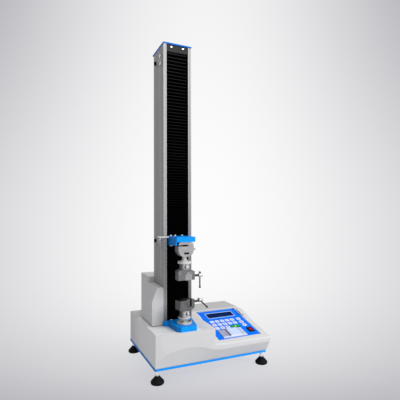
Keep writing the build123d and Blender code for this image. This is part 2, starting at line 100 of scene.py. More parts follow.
class NodeSheet:
    """The node tree of one material, with short calls to add and join nodes."""

    MIX_SHARE, MIX_LOW, MIX_HIGH, MIX_RESULT = 0, 6, 7, 2

    def __init__(self, name: str) -> None:
        """Makes a material that holds only its output.

        Args:
            name: the material's name.
        """
        self.material = bpy.data.materials.new(name)
        self.material.use_nodes = True
        self.open(self.material.node_tree, "ShaderNodeOutputMaterial")
        self.place = self.tree.nodes.new("ShaderNodeTexCoord").outputs["Object"]

    def open(self, tree: bpy.types.NodeTree, output: str) -> None:
        """Empties a tree but for its output.

        Args:
            tree: the node tree to work in.
            output: the type of its output node.
        """
        self.tree = tree
        self.tree.nodes.clear()
        self.output = self.tree.nodes.new(output)

    @classmethod
    def on(cls, tree: bpy.types.NodeTree, output: str) -> "NodeSheet":
        """Works on a tree that isn't a material's, such as the world's.

        Args:
            tree: the node tree to work in.
            output: the type of its output node.

        Returns:
            A sheet for that tree.
        """
        sheet = cls.__new__(cls)
        sheet.open(tree, output)
        return sheet

    def close(self, shader: Socket) -> None:
        """Joins the finished shader to the output."""
        self.feed(self.output.inputs["Surface"], shader)

    def feed(self, socket: Socket, value: Value) -> None:
        """Joins a socket to another one, or sets its value.

        Args:
            socket: the socket that takes the value.
            value: a socket to join, or a plain value.
        """
        if isinstance(value, bpy.types.NodeSocket):
            self.tree.links.new(value, socket)
        else:
            socket.default_value = value

    def add(
        self, kind: str, settings: dict[str, object] | None = None, **sockets: Value
    ) -> bpy.types.Node:
        """Adds a node.

        Args:
            kind: the node's type name.
            settings: properties of the node itself.
            sockets: socket names, with _ for a space, and a value or a socket to join.

        Returns:
            The new node.
        """
        node = self.tree.nodes.new(kind)
        for name, value in (settings or {}).items():
            setattr(node, name, value)
        for name, value in sockets.items():
            self.feed(node.inputs[name.replace("_", " ")], value)
        return node

    def math(self, operation: str, *values: Value) -> Socket:
        """Adds a Math node.

        Args:
            operation: what it does.
            values: its values, in order.

        Returns:
            Its result.
        """
        node = self.add("ShaderNodeMath", {"operation": operation})
        for socket, value in zip(node.inputs, values):
            self.feed(socket, value)
        return node.outputs[0]

    def chain(self, operation: str, first: Value, *others: Value) -> Value:
        """Takes several values together by one operation, from the first to the last.

        Args:
            operation: what each Math node does.
            first: the first value.
            others: the values that follow.

        Returns:
            The last result.
        """
        for other in others:
            first = self.math(operation, first, other)
        return first

    def times(self, *values: Value) -> Value:
        """The product of several values."""
        return self.chain("MULTIPLY", *values)

    def total(self, *values: Value) -> Value:
        """The sum of several values."""
        return self.chain("ADD", *values)

    def clipped(self, value: Value, high: float) -> Socket:
        """A value kept between 0 and a limit."""
        return self.math("MINIMUM", self.math("MAXIMUM", value, 0.0), high)

    def over(self, value: Value, limit: float) -> Socket:
        """1 where a value is over a limit, and 0 elsewhere."""
        return self.math("GREATER_THAN", value, limit)

    def below(self, value: Value, limit: float) -> Socket:
        """1 where a value is below a limit, and 0 elsewhere."""
        return self.math("LESS_THAN", value, limit)

    def between(self, value: Value, limits: Span) -> Value:
        """1 where a value lies between two limits, and 0 elsewhere."""
        return self.times(self.over(value, limits[0]), self.below(value, limits[1]))

    def noise(self, scale: float, stretch: Triple = (1, 1, 1), detail: float = 2.0) -> Socket:
        """Adds a noise in the piece's own coordinates.

        Args:
            scale: features per metre.
            stretch: factors along X, Y and Z.
            detail: octaves.

        Returns:
            The noise's value, about 0.3 to 0.7.
        """
        mapping = self.add("ShaderNodeMapping", Vector=self.place, Scale=stretch)
        noise = self.add(
            "ShaderNodeTexNoise", Vector=mapping.outputs[0], Scale=scale, Detail=detail)
        return noise.outputs["Fac"]

    def mix(self, share: Value, low: Value, high: Value) -> Socket:
        """Mixes two colours.

        Args:
            share: how much of the second colour there is.
            low: the first colour.
            high: the second colour.

        Returns:
            The mixed colour.
        """
        node = self.add("ShaderNodeMix", {"data_type": "RGBA"})
        self.feed(node.inputs[self.MIX_SHARE], share)
        for index, colour in ((self.MIX_LOW, low), (self.MIX_HIGH, high)):
            full = (*colour, 1.0) if isinstance(colour, tuple) else colour
            self.feed(node.inputs[index], full)
        return node.outputs[self.MIX_RESULT]

    def mix_shaders(self, share: Value, low: Socket, high: Socket) -> Socket:
        """Mixes two shaders.

        Args:
            share: how much of the second shader there is.
            low: the first shader.
            high: the second shader.

        Returns:
            The mixed shader.
        """
        node = self.add("ShaderNodeMixShader", Fac=share)
        self.feed(node.inputs[1], low)
        self.feed(node.inputs[2], high)
        return node.outputs[0]

    def scaled(self, colour: Value, share: Value) -> Socket:
        """Makes a colour darker or lighter.

        Args:
            colour: the colour.
            share: what it is multiplied by.

        Returns:
            The new colour.
        """
        node = self.add("ShaderNodeVectorMath", {"operation": "SCALE"}, Scale=share)
        self.feed(node.inputs[0], colour)
        return node.outputs[0]

    def toward(self, look: Socket, aim: Iterable[float]) -> Socket:
        """How far one direction points along another.

        Args:
            look: the direction that varies.
            aim: the fixed direction.

        Returns:
            Their dot product.
        """
        node = self.add("ShaderNodeVectorMath", {"operation": "DOT_PRODUCT"}, Vector=look)
        node.inputs[1].default_value = aim
        return node.outputs["Value"]

    def spread(self, value: Value, ends: Span, to: Span = (0.0, 1.0)) -> Socket:
        """Maps a value from one range to another, clamped.

        Args:
            value: the value.
            ends: the range that it comes from.
            to: the range that it goes to.

        Returns:
            The value in its new range.
        """
        node = self.add("ShaderNodeMapRange", Value=value)
        for name, number in zip(("From Min", "From Max", "To Min", "To Max"), (*ends, *to)):
            node.inputs[name].default_value = number
        return node.outputs[0]

    def axis(self, axis: Axis) -> Socket:
        """The piece's own X, Y or Z coordinate."""
        return self.add("ShaderNodeSeparateXYZ", Vector=self.place).outputs[axis.value]

    def facing(self, axis: Axis) -> Socket:
        """The X, Y or Z part of the direction that the face looks in."""
        normal = self.add("ShaderNodeNewGeometry").outputs["Normal"]
        return self.add("ShaderNodeSeparateXYZ", Vector=normal).outputs[axis.value]

    def seen(self) -> Socket:
        """Tells what the eye sees from what only lights.

        Returns:
            1 for what is seen directly, in a mirror or through glass, and 0 for light.
        """
        path = self.add("ShaderNodeLightPath")
        mirrored = self.math(
            "MAXIMUM", path.outputs["Is Glossy Ray"], path.outputs["Is Transmission Ray"])
        return self.math("MAXIMUM", path.outputs["Is Camera Ray"], mirrored)


@dataclass(frozen=True)
class Finish:
    """One finish: a colour that clouds a little, with its own fine relief.

    The three painted shades of top, left and under darken the colour on faces that look up,
    left or a little down. Softened is the radius to which the shading rounds an edge.
    """

    name: str
    colour: Colour
    roughness: float
    relief: Relief
    metallic: float = 0.0
    tone: float = 0.05
    stretch: Triple = (1, 1, 1)
    specular: float = 0.5
    softened: float = 0.0
    # painted shade: shares that darken the faces looking up, left or a little down
    painted_top_shade: float = 1.0
    painted_left_shade: float = 1.0
    painted_under_shade: float = 1.0
    cloud: float = 9.0

    CLOUD_DETAIL = 3.0
    SPECKLE = 0.4
    CLOUD_ENDS = (0.7, 1.3)
    UP_ENDS = (0.35, 0.85)
    LEFT_ENDS = (-0.35, -0.85)
    UNDER_ENDS = (-0.02, -0.14)
    EDGE_SAMPLES = 6
    WEAR = 60.0
    WEAR_DETAIL = 4.0
    WEAR_ENDS = (0.3, 0.7)
    WEAR_SWING = 0.06
    SMOOTHEST = 0.02

    def shade(self, share: float) -> Colour:
        """The finish's colour times a share, no lighter than white."""
        return tuple(min(1.0, part * share) for part in self.colour)

    def tint(self, sheet: NodeSheet) -> Socket:
        """The base colour, with broad clouds, fine speckle and painted shade by face.

        Args:
            sheet: the material's node tree.

        Returns:
            The colour by place and face.
        """
        cloud = sheet.noise(self.cloud, self.stretch, self.CLOUD_DETAIL)
        fine = sheet.noise(self.relief.scale * self.SPECKLE, self.stretch)
        share = sheet.spread(sheet.total(cloud, fine), self.CLOUD_ENDS)
        colour = sheet.mix(share, self.shade(1 - self.tone), self.shade(1 + self.tone))
        return self.with_painted_face_shade(sheet, colour)

    def with_painted_face_shade(self, sheet: NodeSheet, colour: Socket) -> Socket:
        """Paints shade into a colour on the faces that look up, left or a little down.

        Args:
            sheet: the material's node tree.
            colour: the plain colour.

        Returns:
            The colour by face.
        """
        if (self.painted_top_shade, self.painted_left_shade, self.painted_under_shade) == (1.0, 1.0, 1.0):
            return colour
        # painted shade, chosen by the direction that each face looks in
        up = sheet.spread(sheet.facing(Axis.Z), self.UP_ENDS, (1.0, self.painted_top_shade))
        left = sheet.spread(sheet.facing(Axis.X), self.LEFT_ENDS, (1.0, self.painted_left_shade))
        under = sheet.spread(sheet.facing(Axis.Z), self.UNDER_ENDS, (1.0, self.painted_under_shade))
        return sheet.scaled(colour, sheet.times(up, left, under))

    def shader(self, sheet: NodeSheet) -> Socket:
        """Adds this finish's shader to a sheet.

        Args:
            sheet: the material's node tree.

        Returns:
            The shader's output socket.
        """
        fine = sheet.noise(self.relief.scale, self.stretch)
        bump = sheet.add(
            "ShaderNodeBump", Height=fine, Distance=self.relief.depth, Strength=1.0)
        if self.softened:
            edge = sheet.add(
                "ShaderNodeBevel", {"samples": self.EDGE_SAMPLES}, Radius=self.softened)
            sheet.feed(bump.inputs["Normal"], edge.outputs[0])
        wear = sheet.noise(self.WEAR, self.stretch, self.WEAR_DETAIL)
        smooth = max(self.SMOOTHEST, self.roughness - self.WEAR_SWING)
        worn = min(1.0, self.roughness + self.WEAR_SWING)
        rough = sheet.spread(wear, self.WEAR_ENDS, (smooth, worn))
        shader = sheet.add(
            "ShaderNodeBsdfPrincipled", Base_Color=self.tint(sheet), Roughness=rough,
            Normal=bump.outputs[0])
        shader.inputs["Metallic"].default_value = self.metallic
        shader.inputs["Specular IOR Level"].default_value = self.specular
        return shader.outputs[0]

    def material(self) -> bpy.types.Material:
        """Makes the Blender material once, and finds it again later.

        Returns:
            The material, shared by all pieces in this finish.
        """
        found = bpy.data.materials.get(self.name)
        if found is None:
            sheet = NodeSheet(self.name)
            sheet.close(self.shader(sheet))
            found = sheet.material
        return found


@dataclass(frozen=True, kw_only=True)
class ZonedFinish(Finish):
    """Two finishes on one piece, parted at a level along an axis."""

    under: Finish
    over: Finish
    axis: Axis
    level: float

    def shader(self, sheet: NodeSheet) -> Socket:
        """Puts the under finish below the level and the over finish above it.

        Args:
            sheet: the material's node tree.

        Returns:
            The mixed shader's output socket.
        """
        share = sheet.over(sheet.axis(self.axis), self.level)
        return sheet.mix_shaders(share, self.under.shader(sheet), self.over.shader(sheet))


def zoned(name: str, under: Finish, over: Finish, axis: Axis, level: float) -> ZonedFinish:
    """Parts two finishes at a level, under a name of their own.

    Args:
        name: the new finish's name.
        under: the finish below the level.
        over: the finish above the level.
        axis: the axis along which the level is measured.
        level: where the two meet, in millimetres.

    Returns:
        The finish with both zones.
    """
    return ZonedFinish(
        name, under.colour, under.roughness, under.relief, under=under, over=over, axis=axis,
        level=level * MM)


@dataclass(frozen=True)
class ExtrusionFinish(Finish):
    """Drawn metal with long die lines, painted brighter on its front faces than on its sides as if lit, with
    painted shade towards its foot and painted shadow in its channel.
    """

    # painted light: the front faces get this brighter copy of the grey, as if lit
    front: Colour = (0.55, 0.55, 0.55)
    # painted shadow: near black inside the channel, where shade falls
    slot: Colour = (0.008, 0.008, 0.008)
    channel: Span = (-165.5 * MM, -68.5 * MM)
    channel_back: float = 46 * MM
    height: Span = (200 * MM, 1360 * MM)
    # painted shade: shares by which sides and fronts darken towards the foot
    painted_side_foot_shade: float = 0.8
    painted_left_foot_shade: float = 0.56
    painted_right_foot_shade: float = 0.26
    lines: float = 260.0
    line_ends: Span = (0.35, 0.65)

    DRAWN_LONG = (1, 1, 0.004)
    LINE_DETAIL = 4.0
    FRONT_FACE = -0.7

    def tint(self, sheet: NodeSheet) -> Socket:
        """Lined grey sides, a front painted brighter as if lit, painted shade downwards and a channel
        painted black as shadow.

        Args:
            sheet: the material's node tree.

        Returns:
            The colour by place and face.
        """
        lines = sheet.noise(self.lines, self.DRAWN_LONG, self.LINE_DETAIL)
        lined = sheet.spread(lines, self.line_ends, (1 - self.tone, 1 + self.tone))
        # painted shade darkens sides and fronts towards the foot; painted light brightens the fronts
        height = sheet.spread(sheet.axis(Axis.Z), self.height)
        side = sheet.mix(height, self.shade(self.painted_side_foot_shade), self.colour)
        right = sheet.over(sheet.axis(Axis.X), self.channel[1])
        foot = sheet.mix(
            right, tuple(part * self.painted_left_foot_shade for part in self.front),
            tuple(part * self.painted_right_foot_shade for part in self.front))
        strip = sheet.mix(height, foot, self.front)
        front = sheet.below(sheet.facing(Axis.Y), self.FRONT_FACE)
        outside = sheet.mix(front, side, strip)
        # painted shadow inside the channel
        inside = sheet.times(
            sheet.between(sheet.axis(Axis.X), self.channel),
            sheet.below(sheet.axis(Axis.Y), self.channel_back))
        return sheet.scaled(sheet.mix(inside, outside, self.slot), lined)


@dataclass(frozen=True)
class DisplayFinish(Finish):
    """A dark liquid-crystal screen with faint rows of dot cells."""

    cell_width: float = 5.8 * MM
    row_depth: float = 12.5 * MM
    cell: Span = (0.16, 0.86)
    row: Span = (0.25, 0.85)
    glow: float = 16.0
    gain: float = 2.6
    lift: float = 0.006

    def tint(self, sheet: NodeSheet) -> Socket:
        """Navy glass, with a grid of slightly lighter cells.

        Args:
            sheet: the material's node tree.

        Returns:
            The colour by place.
        """
        across = sheet.math("FRACT", sheet.times(sheet.axis(Axis.X), 1 / self.cell_width))
        down = sheet.math("FRACT", sheet.times(sheet.axis(Axis.Y), 1 / self.row_depth))
        glow = sheet.noise(self.glow, detail=1.0)
        cells = sheet.between(across, self.cell)
        share = sheet.times(cells, sheet.between(down, self.row), glow)
        return sheet.mix(
            share, self.colour, tuple(part * self.gain + self.lift for part in self.colour))


@dataclass(frozen=True)
class PleatFinish(Finish):
    """Cloth whose folded edges carry a painted highlight that is painted darker further down."""

    height: Span = (680 * MM, 1300 * MM)
    # painted shade: how much of the painted highlight is left at the foot
    foot: float = 0.1

    def tint(self, sheet: NodeSheet) -> Socket:
        """The cloth's colour, with painted shade deeper towards the bottom of the column.

        Args:
            sheet: the material's node tree.

        Returns:
            The colour by height.
        """
        share = sheet.spread(sheet.axis(Axis.Z), self.height, (self.foot, 1.0))
        return sheet.scaled(Finish.tint(self, sheet), share)


@dataclass(frozen=True)
class HousingFinish(Finish):
    """Moulded housing plastic, with painted light and painted shade on some of its faces."""

    # painted light and shade: where each zone lies, and how much it darkens or brightens
    ledge_start: float = 76 * MM
    painted_ledge_shade: float = -0.3
    platform_end: float = -60 * MM
    painted_platform_light: float = 0.22
    wall_start: float = 226 * MM
    painted_wall_light: float = 0.4
    rear: Span = (20 * MM, 160 * MM)
    painted_rear_shade: float = -0.2

    LEVEL_FACE = 0.9
    LEANING_FACE = -0.3
    LEFT_FACE = -0.8

    def tint(self, sheet: NodeSheet) -> Socket:
        """Paints shade on the back ledge and the left side's rear, and paints light on the platform and far
        wall.

        Args:
            sheet: the material's node tree.

        Returns:
            The colour by place and face.
        """
        across, along = sheet.axis(Axis.X), sheet.axis(Axis.Y)
        level = sheet.over(sheet.facing(Axis.Z), self.LEVEL_FACE)
        ledge = sheet.times(level, sheet.over(along, self.ledge_start))
        platform = sheet.times(level, sheet.below(across, self.platform_end))
        leaning = sheet.below(sheet.facing(Axis.X), self.LEANING_FACE)
        wall = sheet.times(leaning, sheet.over(across, self.wall_start))
        side = sheet.below(sheet.facing(Axis.X), self.LEFT_FACE)
        rear = sheet.times(side, sheet.spread(along, self.rear))
        # painted shade on the ledge and the rear, painted light on the platform and the wall
        share = sheet.total(
            1.0, sheet.times(ledge, self.painted_ledge_shade), sheet.times(rear, self.painted_rear_shade),
            sheet.times(platform, self.painted_platform_light), sheet.times(wall, self.painted_wall_light))
        return sheet.scaled(Finish.tint(self, sheet), share)


# painted shade: the azure coat's tops and left faces are darkened
AZURE = Finish(
    "azure_powder_coat", (0.002, 0.31, 0.99), 0.5, Relief.PEEL, tone=0.04, specular=0.1,
    painted_top_shade=0.8, painted_left_shade=0.48)
# painted shade: a darker copy of the azure coat for the cap, with its left faces darker still
SHADED_CAP_AZURE = Finish(
    "azure_cap_coat_painted_shade", (0.001, 0.15, 0.62), 0.5, Relief.PEEL, tone=0.1, specular=0.1,
    painted_left_shade=0.7)
PANEL_AZURE = Finish(
    "azure_panel_film", (0.0003, 0.17, 0.92), 0.5, Relief.GRAIN, tone=0.07, specular=0.03)
# painted shade on faces that look a little down, with the painted light and shade of HousingFinish
HOUSING = HousingFinish(
    "housing_light_grey", (0.62, 0.62, 0.625), 0.5, Relief.GRAIN, tone=0.025, specular=0.3,
    softened=0.003, painted_under_shade=0.93)
# painted shade: the cover's left faces are darkened
COVER_SIDES = Finish(
    "cover_light_grey", (0.60, 0.60, 0.605), 0.48, Relief.PEEL, tone=0.03, specular=0.3,
    softened=0.002, painted_left_shade=0.76)
EXTRUSION = ExtrusionFinish(
    "drawn_aluminium", (0.315, 0.315, 0.32), 0.5, Relief.DRAWN, tone=0.17, specular=0.25,
    stretch=(1, 1, 0.01))
DARK_PLATE = Finish(
    "dark_anodised", (0.04, 0.04, 0.037), 0.6, Relief.BLASTED, tone=0.2, specular=0.1)
PLEATS = Finish("pleated_cloth", (0.002, 0.002, 0.002), 0.9, Relief.MATT, tone=0.3, specular=0.0)
# painted highlight: the pleats' lips are painted lighter than the black cloth
PAINTED_PLEAT_HIGHLIGHT = PleatFinish(
    "pleat_edge_painted_highlight", (0.022, 0.022, 0.023), 0.8, Relief.MATT, tone=0.3, specular=0.0)
GROUND_STEEL = Finish(
    "ground_steel", (0.55, 0.55, 0.56), 0.3, Relief.DRAWN, metallic=0.8, tone=0.08,
    stretch=(1, 1, 14))
CAST = Finish("machined_iron", (0.16, 0.16, 0.165), 0.5, Relief.BLASTED, metallic=0.6, tone=0.15)
PULLEY = Finish("pulley_alloy", (0.55, 0.56, 0.57), 0.38, Relief.BLASTED, metallic=0.9, tone=0.08)
BELT = Finish("belt_black", (0.02, 0.02, 0.02), 0.7, Relief.MATT, tone=0.3)
MOTOR = Finish("motor_paint", (0.03, 0.03, 0.033), 0.45, Relief.PEEL, tone=0.15)
# painted shade: the load cell's left faces are darkened
CELL_FACE = Finish(
    "blasted_nickel", (0.36, 0.36, 0.365), 0.46, Relief.BLASTED, metallic=0.2, tone=0.2,
    softened=0.0012, painted_left_shade=0.3, cloud=60)
# painted shade: the grip's left faces are darkened
GRIP = Finish(
    "blasted_steel", (0.19, 0.19, 0.195), 0.42, Relief.BLASTED, metallic=0.3, tone=0.3,
    softened=0.0008, painted_left_shade=0.42, cloud=60)
# painted shade: the lower grip's tops are painted nearly black and its left faces darker
LOWER_GRIP = Finish(
    "blasted_steel_painted_shade_top", (0.13, 0.13, 0.135), 0.42, Relief.BLASTED, metallic=0.3, tone=0.35,
    softened=0.0008, painted_left_shade=0.5, painted_top_shade=0.05, cloud=60)
# painted shade: the plating's left faces are darkened strongly
PLATED = Finish(
    "bright_plating", (0.56, 0.56, 0.57), 0.3, Relief.DRAWN, metallic=0.45, tone=0.15,
    softened=0.0006, painted_left_shade=0.12, cloud=60)
# painted shade: the ring's left faces are darkened
RING = Finish(
    "bright_ring", (0.66, 0.66, 0.66), 0.34, Relief.DRAWN, metallic=0.3, tone=0.2,
    softened=0.0006, painted_left_shade=0.6, cloud=60)
GUIDE = Finish(
    "guide_plate", (0.33, 0.33, 0.335), 0.42, Relief.BLASTED, metallic=0.3, tone=0.25, cloud=60)
HEAD_STEEL = Finish(
    "bright_heads", (0.95, 0.95, 0.95), 0.25, Relief.DRAWN, metallic=0.9, tone=0.04)
TRIP = Finish("zinc_plating", (0.66, 0.66, 0.66), 0.42, Relief.DRAWN, metallic=0.2, tone=0.08)
TOMMY = Finish(
    "blued_steel", (0.045, 0.045, 0.048), 0.45, Relief.BLASTED, metallic=0.2, tone=0.3,
    specular=0.2)
WHITE_KEY = Finish(
    "white_key_cap", (0.66, 0.72, 0.93), 0.5, Relief.GRAIN, tone=0.06, specular=0.1)
GREEN_KEY = Finish(
    "green_key_cap", (0.006, 0.30, 0.02), 0.5, Relief.GRAIN, tone=0.2, specular=0.1, cloud=90)
PRINTER_LEFT = Finish(
    "lilac_grey_plastic", (0.34, 0.35, 0.49), 0.55, Relief.GRAIN, tone=0.16, specular=0.1,
    cloud=45)
PRINTER_RIGHT = Finish(
    "speckled_lilac_plastic", (0.52, 0.55, 0.64), 0.55, Relief.GRAIN, tone=0.3, specular=0.1,
    cloud=120)
PRINTER_STRIP = Finish(
    "lilac_white_strip", (0.62, 0.68, 0.86), 0.5, Relief.GRAIN, tone=0.06, specular=0.1)
# painted shade: the printer lid's left flank is darkened
PAINTED_LID_FLANK_SHADE = Finish("lid_flank_painted_shade", (0.15, 0.15, 0.21), 0.5, Relief.GRAIN, tone=0.1, specular=0.1)
LID_FACE = Finish(
    "lilac_white_plastic", (0.56, 0.66, 0.93), 0.5, Relief.GRAIN, tone=0.05, specular=0.1)
LCD_FRAME = Finish(
    "display_frame", (0.42, 0.60, 0.96), 0.5, Relief.GRAIN, tone=0.05, specular=0.1)
LCD = DisplayFinish("liquid_crystal", (0.003, 0.012, 0.062), 0.5, Relief.DRAWN, specular=0.0)
BLACK = Finish(
    "matt_black_plastic", (0.006, 0.006, 0.006), 0.6, Relief.GRAIN, tone=0.2, specular=0.08)
RED = Finish(
    "red_rocker", (0.52, 0.005, 0.010), 0.5, Relief.GRAIN, tone=0.2, specular=0.1, cloud=90)
RUBBER = Finish("foot_pad", (0.005, 0.005, 0.005), 0.55, Relief.MATT, tone=0.3, specular=0.1)
INK = Finish("grey_blue_ink", (0.06, 0.08, 0.26), 0.5, Relief.GRAIN, tone=0.1, specular=0.1)
RED_INK = Finish("red_ink", (0.62, 0.02, 0.04), 0.5, Relief.GRAIN, tone=0.1, specular=0.1)
PALE_INK = Finish("pale_ink", (0.70, 0.86, 0.72), 0.5, Relief.GRAIN, tone=0.05, specular=0.1)
PAPER = Finish("thermal_paper", (0.85, 0.86, 0.90), 0.7, Relief.MATT, tone=0.02)
# painted shadow: black on the load cell's top left, where the crosshead's shadow falls
CELL_SHADOW_BAND = zoned("cell_undercut", BLACK, CELL_FACE, Axis.X, -127)
CELL_TOP = zoned("cell_over_undercut", CELL_SHADOW_BAND, CELL_FACE, Axis.Z, 524.2)
CELL = zoned("cell_with_undercut", CELL_FACE, CELL_TOP, Axis.Z, 519.4)
# painted shadow: black along the cover's foot, where the shadow gap lies
COVER_WITH_FOOT_SHADOW = zoned("cover_with_foot_seal", BLACK, COVER_SIDES, Axis.Z, 190.6)
# painted highlight on the pleats' front lips
PLEATED = zoned("pleats_with_edge", PAINTED_PLEAT_HIGHLIGHT, PLEATS, Axis.Y, -75.2)
FOOT = zoned("foot_rubber_and_steel", RUBBER, HEAD_STEEL, Axis.Z, 30)
UPPER_SCREW = zoned("upper_screw_and_hub", TOMMY, RING, Axis.X, -55.2)
UPPER_GRIP = zoned("grip_with_guide_plate", GUIDE, GRIP, Axis.Y, -173.3)
UPPER_ADAPTER = zoned("coupling_under_ring", PLATED, RING, Axis.Z, 449.2)
LOWER_ADAPTER = zoned("coupling_over_ring", RING, PLATED, Axis.Z, 236.2)
PRINTER_SIDES = zoned("printer_left_and_right", PRINTER_LEFT, PRINTER_RIGHT, Axis.X, 141.5)
PRINTER = zoned("printer_face", PRINTER_STRIP, PRINTER_SIDES, Axis.Y, -167.2)
# painted shade on the lid's left flank
LID = zoned("lid_and_flank", PAINTED_LID_FLANK_SHADE, LID_FACE, Axis.X, 90.6)
ROCKER = zoned("rocker_and_shaded_side", BLACK, RED, Axis.X, 199.5)
LOWER_SCREW = zoned("lower_screw_and_hub", TOMMY, RING, Axis.X, -46)
BRACKET = Finish(
    "bracket_grey", (0.34, 0.34, 0.345), 0.5, Relief.BLASTED, tone=0.15, specular=0.3)
HEADS = zoned("switch_heads_and_knob", HEAD_STEEL, BLACK, Axis.Y, -20)
SWITCH = zoned("switch_on_bracket", HEADS, BRACKET, Axis.X, -182.2)
LOWER_SWITCH = zoned("lower_switch_over_bracket", BRACKET, SWITCH, Axis.Z, 522)


# Modelling


class Part(Enum):
    """What is picked on a mesh in edit mode."""

    FACES = "FACE"
    CORNERS = "VERT"


class Workshop:
    """Modelling calls that work on one piece at a time."""

    SHARP = math.radians(35)

    @staticmethod
    def deselect() -> None:
        """Deselects everything, as an operator acts on all that is selected."""
        bpy.ops.object.select_all(action="DESELECT")

    @classmethod
    def take(cls, piece: bpy.types.Object) -> None:
        """Selects one piece alone and makes it active.

        Args:
            piece: the piece to work on.
        """
        cls.deselect()
        piece.select_set(True)
        bpy.context.view_layer.objects.active = piece

    @staticmethod
    def named(name: str) -> bpy.types.Object:
        """Names the new primitive and puts its place in its mesh.

        Args:
            name: the piece's name.

        Returns:
            The piece.
        """
        piece = bpy.context.active_object
        piece.name = name
        piece.data.name = name
        bpy.ops.object.transform_apply(location=True, rotation=True, scale=True)
        return piece

    @classmethod
    def block(cls, name: str, low: Iterable[float], high: Iterable[float]) -> bpy.types.Object:
        """Adds a box.

        Args:
            name: the box's name.
            low: its corner with the lowest coordinates.
            high: its opposite corner.

        Returns:
            The box.
        """
        low, high = Vector(low), Vector(high)
        cls.deselect()
        bpy.ops.mesh.primitive_cube_add(size=1, location=(low + high) / 2, scale=high - low)
        return cls.named(name)

    @classmethod
    def round_bar(
        cls, name: str, radius: float, low: float, high: float, sides: int
    ) -> bpy.types.Object:
        """Adds an upright cylinder about the Z axis.

        Args:
            name: the bar's name.
            radius: its radius.
            low: the height of its lower end.
            high: the height of its upper end.
            sides: how many flat sides stand for its round one.

        Returns:
            The bar.
        """
        cls.deselect()
        bpy.ops.mesh.primitive_cylinder_add(
            vertices=sides, radius=radius, depth=high - low, location=(0, 0, (low + high) / 2))
        return cls.named(name)

    @staticmethod
    def pick(
        piece: bpy.types.Object, test: Callable[[Vector, Vector], bool], part: Part = Part.FACES
    ) -> None:
        """Selects faces by centre and normal, or corners by place, and stays in edit mode.

        Args:
            piece: the piece in hand.
            test: says whether a centre and a normal belong to the selection.
            part: what is picked.
        """
        bpy.ops.object.mode_set(mode="EDIT")
        bpy.ops.mesh.select_mode(type=part.value)
        bpy.ops.mesh.select_all(action="DESELECT")
        bpy.ops.object.mode_set(mode="OBJECT")
        if part is Part.FACES:
            for face in piece.data.polygons:
                face.select = test(face.center, face.normal)
        else:
            for corner in piece.data.vertices:
                corner.select = test(corner.co, corner.normal)
        bpy.ops.object.mode_set(mode="EDIT")

    @staticmethod
    def shift(by: Iterable[float]) -> None:
        """Moves what is selected in edit mode."""
        bpy.ops.transform.translate(value=tuple(by))

    @staticmethod
    def done() -> None:
        """Leaves edit mode."""
        bpy.ops.object.mode_set(mode="OBJECT")

    @classmethod
    def round_edges(cls, piece: bpy.types.Object, width: float, steps: int = 2) -> None:
        """Rounds every sharp edge with a bevel that is applied.

        Args:
            piece: the piece.
            width: the width of the bevel.
            steps: how many faces lie across it.
        """
        cls.take(piece)
        bevel = piece.modifiers.new("rounding", "BEVEL")
        bevel.width = width
        bevel.segments = steps
        bevel.limit_method = "ANGLE"
        bevel.angle_limit = cls.SHARP
        bpy.ops.object.modifier_apply(modifier=bevel.name)

    @classmethod
    def cut(cls, piece: bpy.types.Object, tool: bpy.types.Object) -> None:
        """Cuts a tool's shape out of a piece and removes the tool.

        Args:
            piece: the piece that is cut.
            tool: the shape that is cut away.
        """
        cls.take(piece)
        cutter = piece.modifiers.new("cut", "BOOLEAN")
        cutter.operation = "DIFFERENCE"
        cutter.object = tool
        cutter.solver = "EXACT"
        bpy.ops.object.modifier_apply(modifier=cutter.name)
        bpy.data.objects.remove(tool)

    @classmethod
    def thicken(cls, piece: bpy.types.Object, thickness: float) -> None:
        """Gives a sheet its thickness and turns its faces outwards.

        Args:
            piece: the sheet, still without thickness.
            thickness: how thick it gets.
        """
        sheet = piece.modifiers.new("cloth", "SOLIDIFY")
        sheet.thickness = thickness
        sheet.offset = 1
        cls.take(piece)
        bpy.ops.object.modifier_apply(modifier=sheet.name)
        bpy.ops.object.mode_set(mode="EDIT")
        bpy.ops.mesh.select_all(action="SELECT")
        bpy.ops.mesh.normals_make_consistent(inside=False)
        cls.done()

    @staticmethod
    def copy_at(
        piece: bpy.types.Object, name: str, place: Matrix, remove: bool = False
    ) -> bpy.types.Object:
        """Copies a piece, with its own mesh, to a place.

        Args:
            piece: the piece modelled at the origin.
            name: the copy's name.
            place: where the copy goes.
            remove: whether the first piece goes.

        Returns:
            The copy.
        """
        new = piece.copy()
        new.data = piece.data.copy()
        new.data.transform(place)
        new.name = new.data.name = name
        bpy.context.scene.collection.objects.link(new)
        if remove:
            bpy.data.objects.remove(piece)
        return new

    @classmethod
    def hand_over(cls, piece: bpy.types.Object, finish: Finish, body: str, slot: str) -> None:
        """Smooths, paints and mounts a finished piece.

        Args:
            piece: the piece, in its place.
            finish: its finish.
            body: the body that it rides on.
            slot: the name of a material slot; not used.
        """
        cls.take(piece)
        bpy.ops.object.shade_smooth_by_angle(angle=cls.SHARP)
        paint(piece, finish)
        if "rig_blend" not in piece:
            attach(piece, body)
        LOG.info("%s rides on %s", piece.name, body)


def paint(piece: bpy.types.Object, finish: Finish) -> None:
    """Gives a piece, or a carried-over node, one finish."""
    piece.data.materials.clear()
    piece.data.materials.append(finish.material())


def paint_nodes(finish: Finish, *names: str) -> None:
    """Gives several carried-over nodes one finish.

    Args:
        finish: the finish.
        names: the nodes' names.
    """
    for name in names:
        paint(NODES[name], finish)
        LOG.info("%s is finished in %s", name, finish.name)


def turned_to(direction: Iterable[float], at: Iterable[float]) -> Matrix:
    """A place at a point, with local Z along a direction."""
    turn = Vector(direction).to_track_quat("Z", "Y").to_matrix().to_4x4()
    return Matrix.Translation(Vector(at)) @ turn


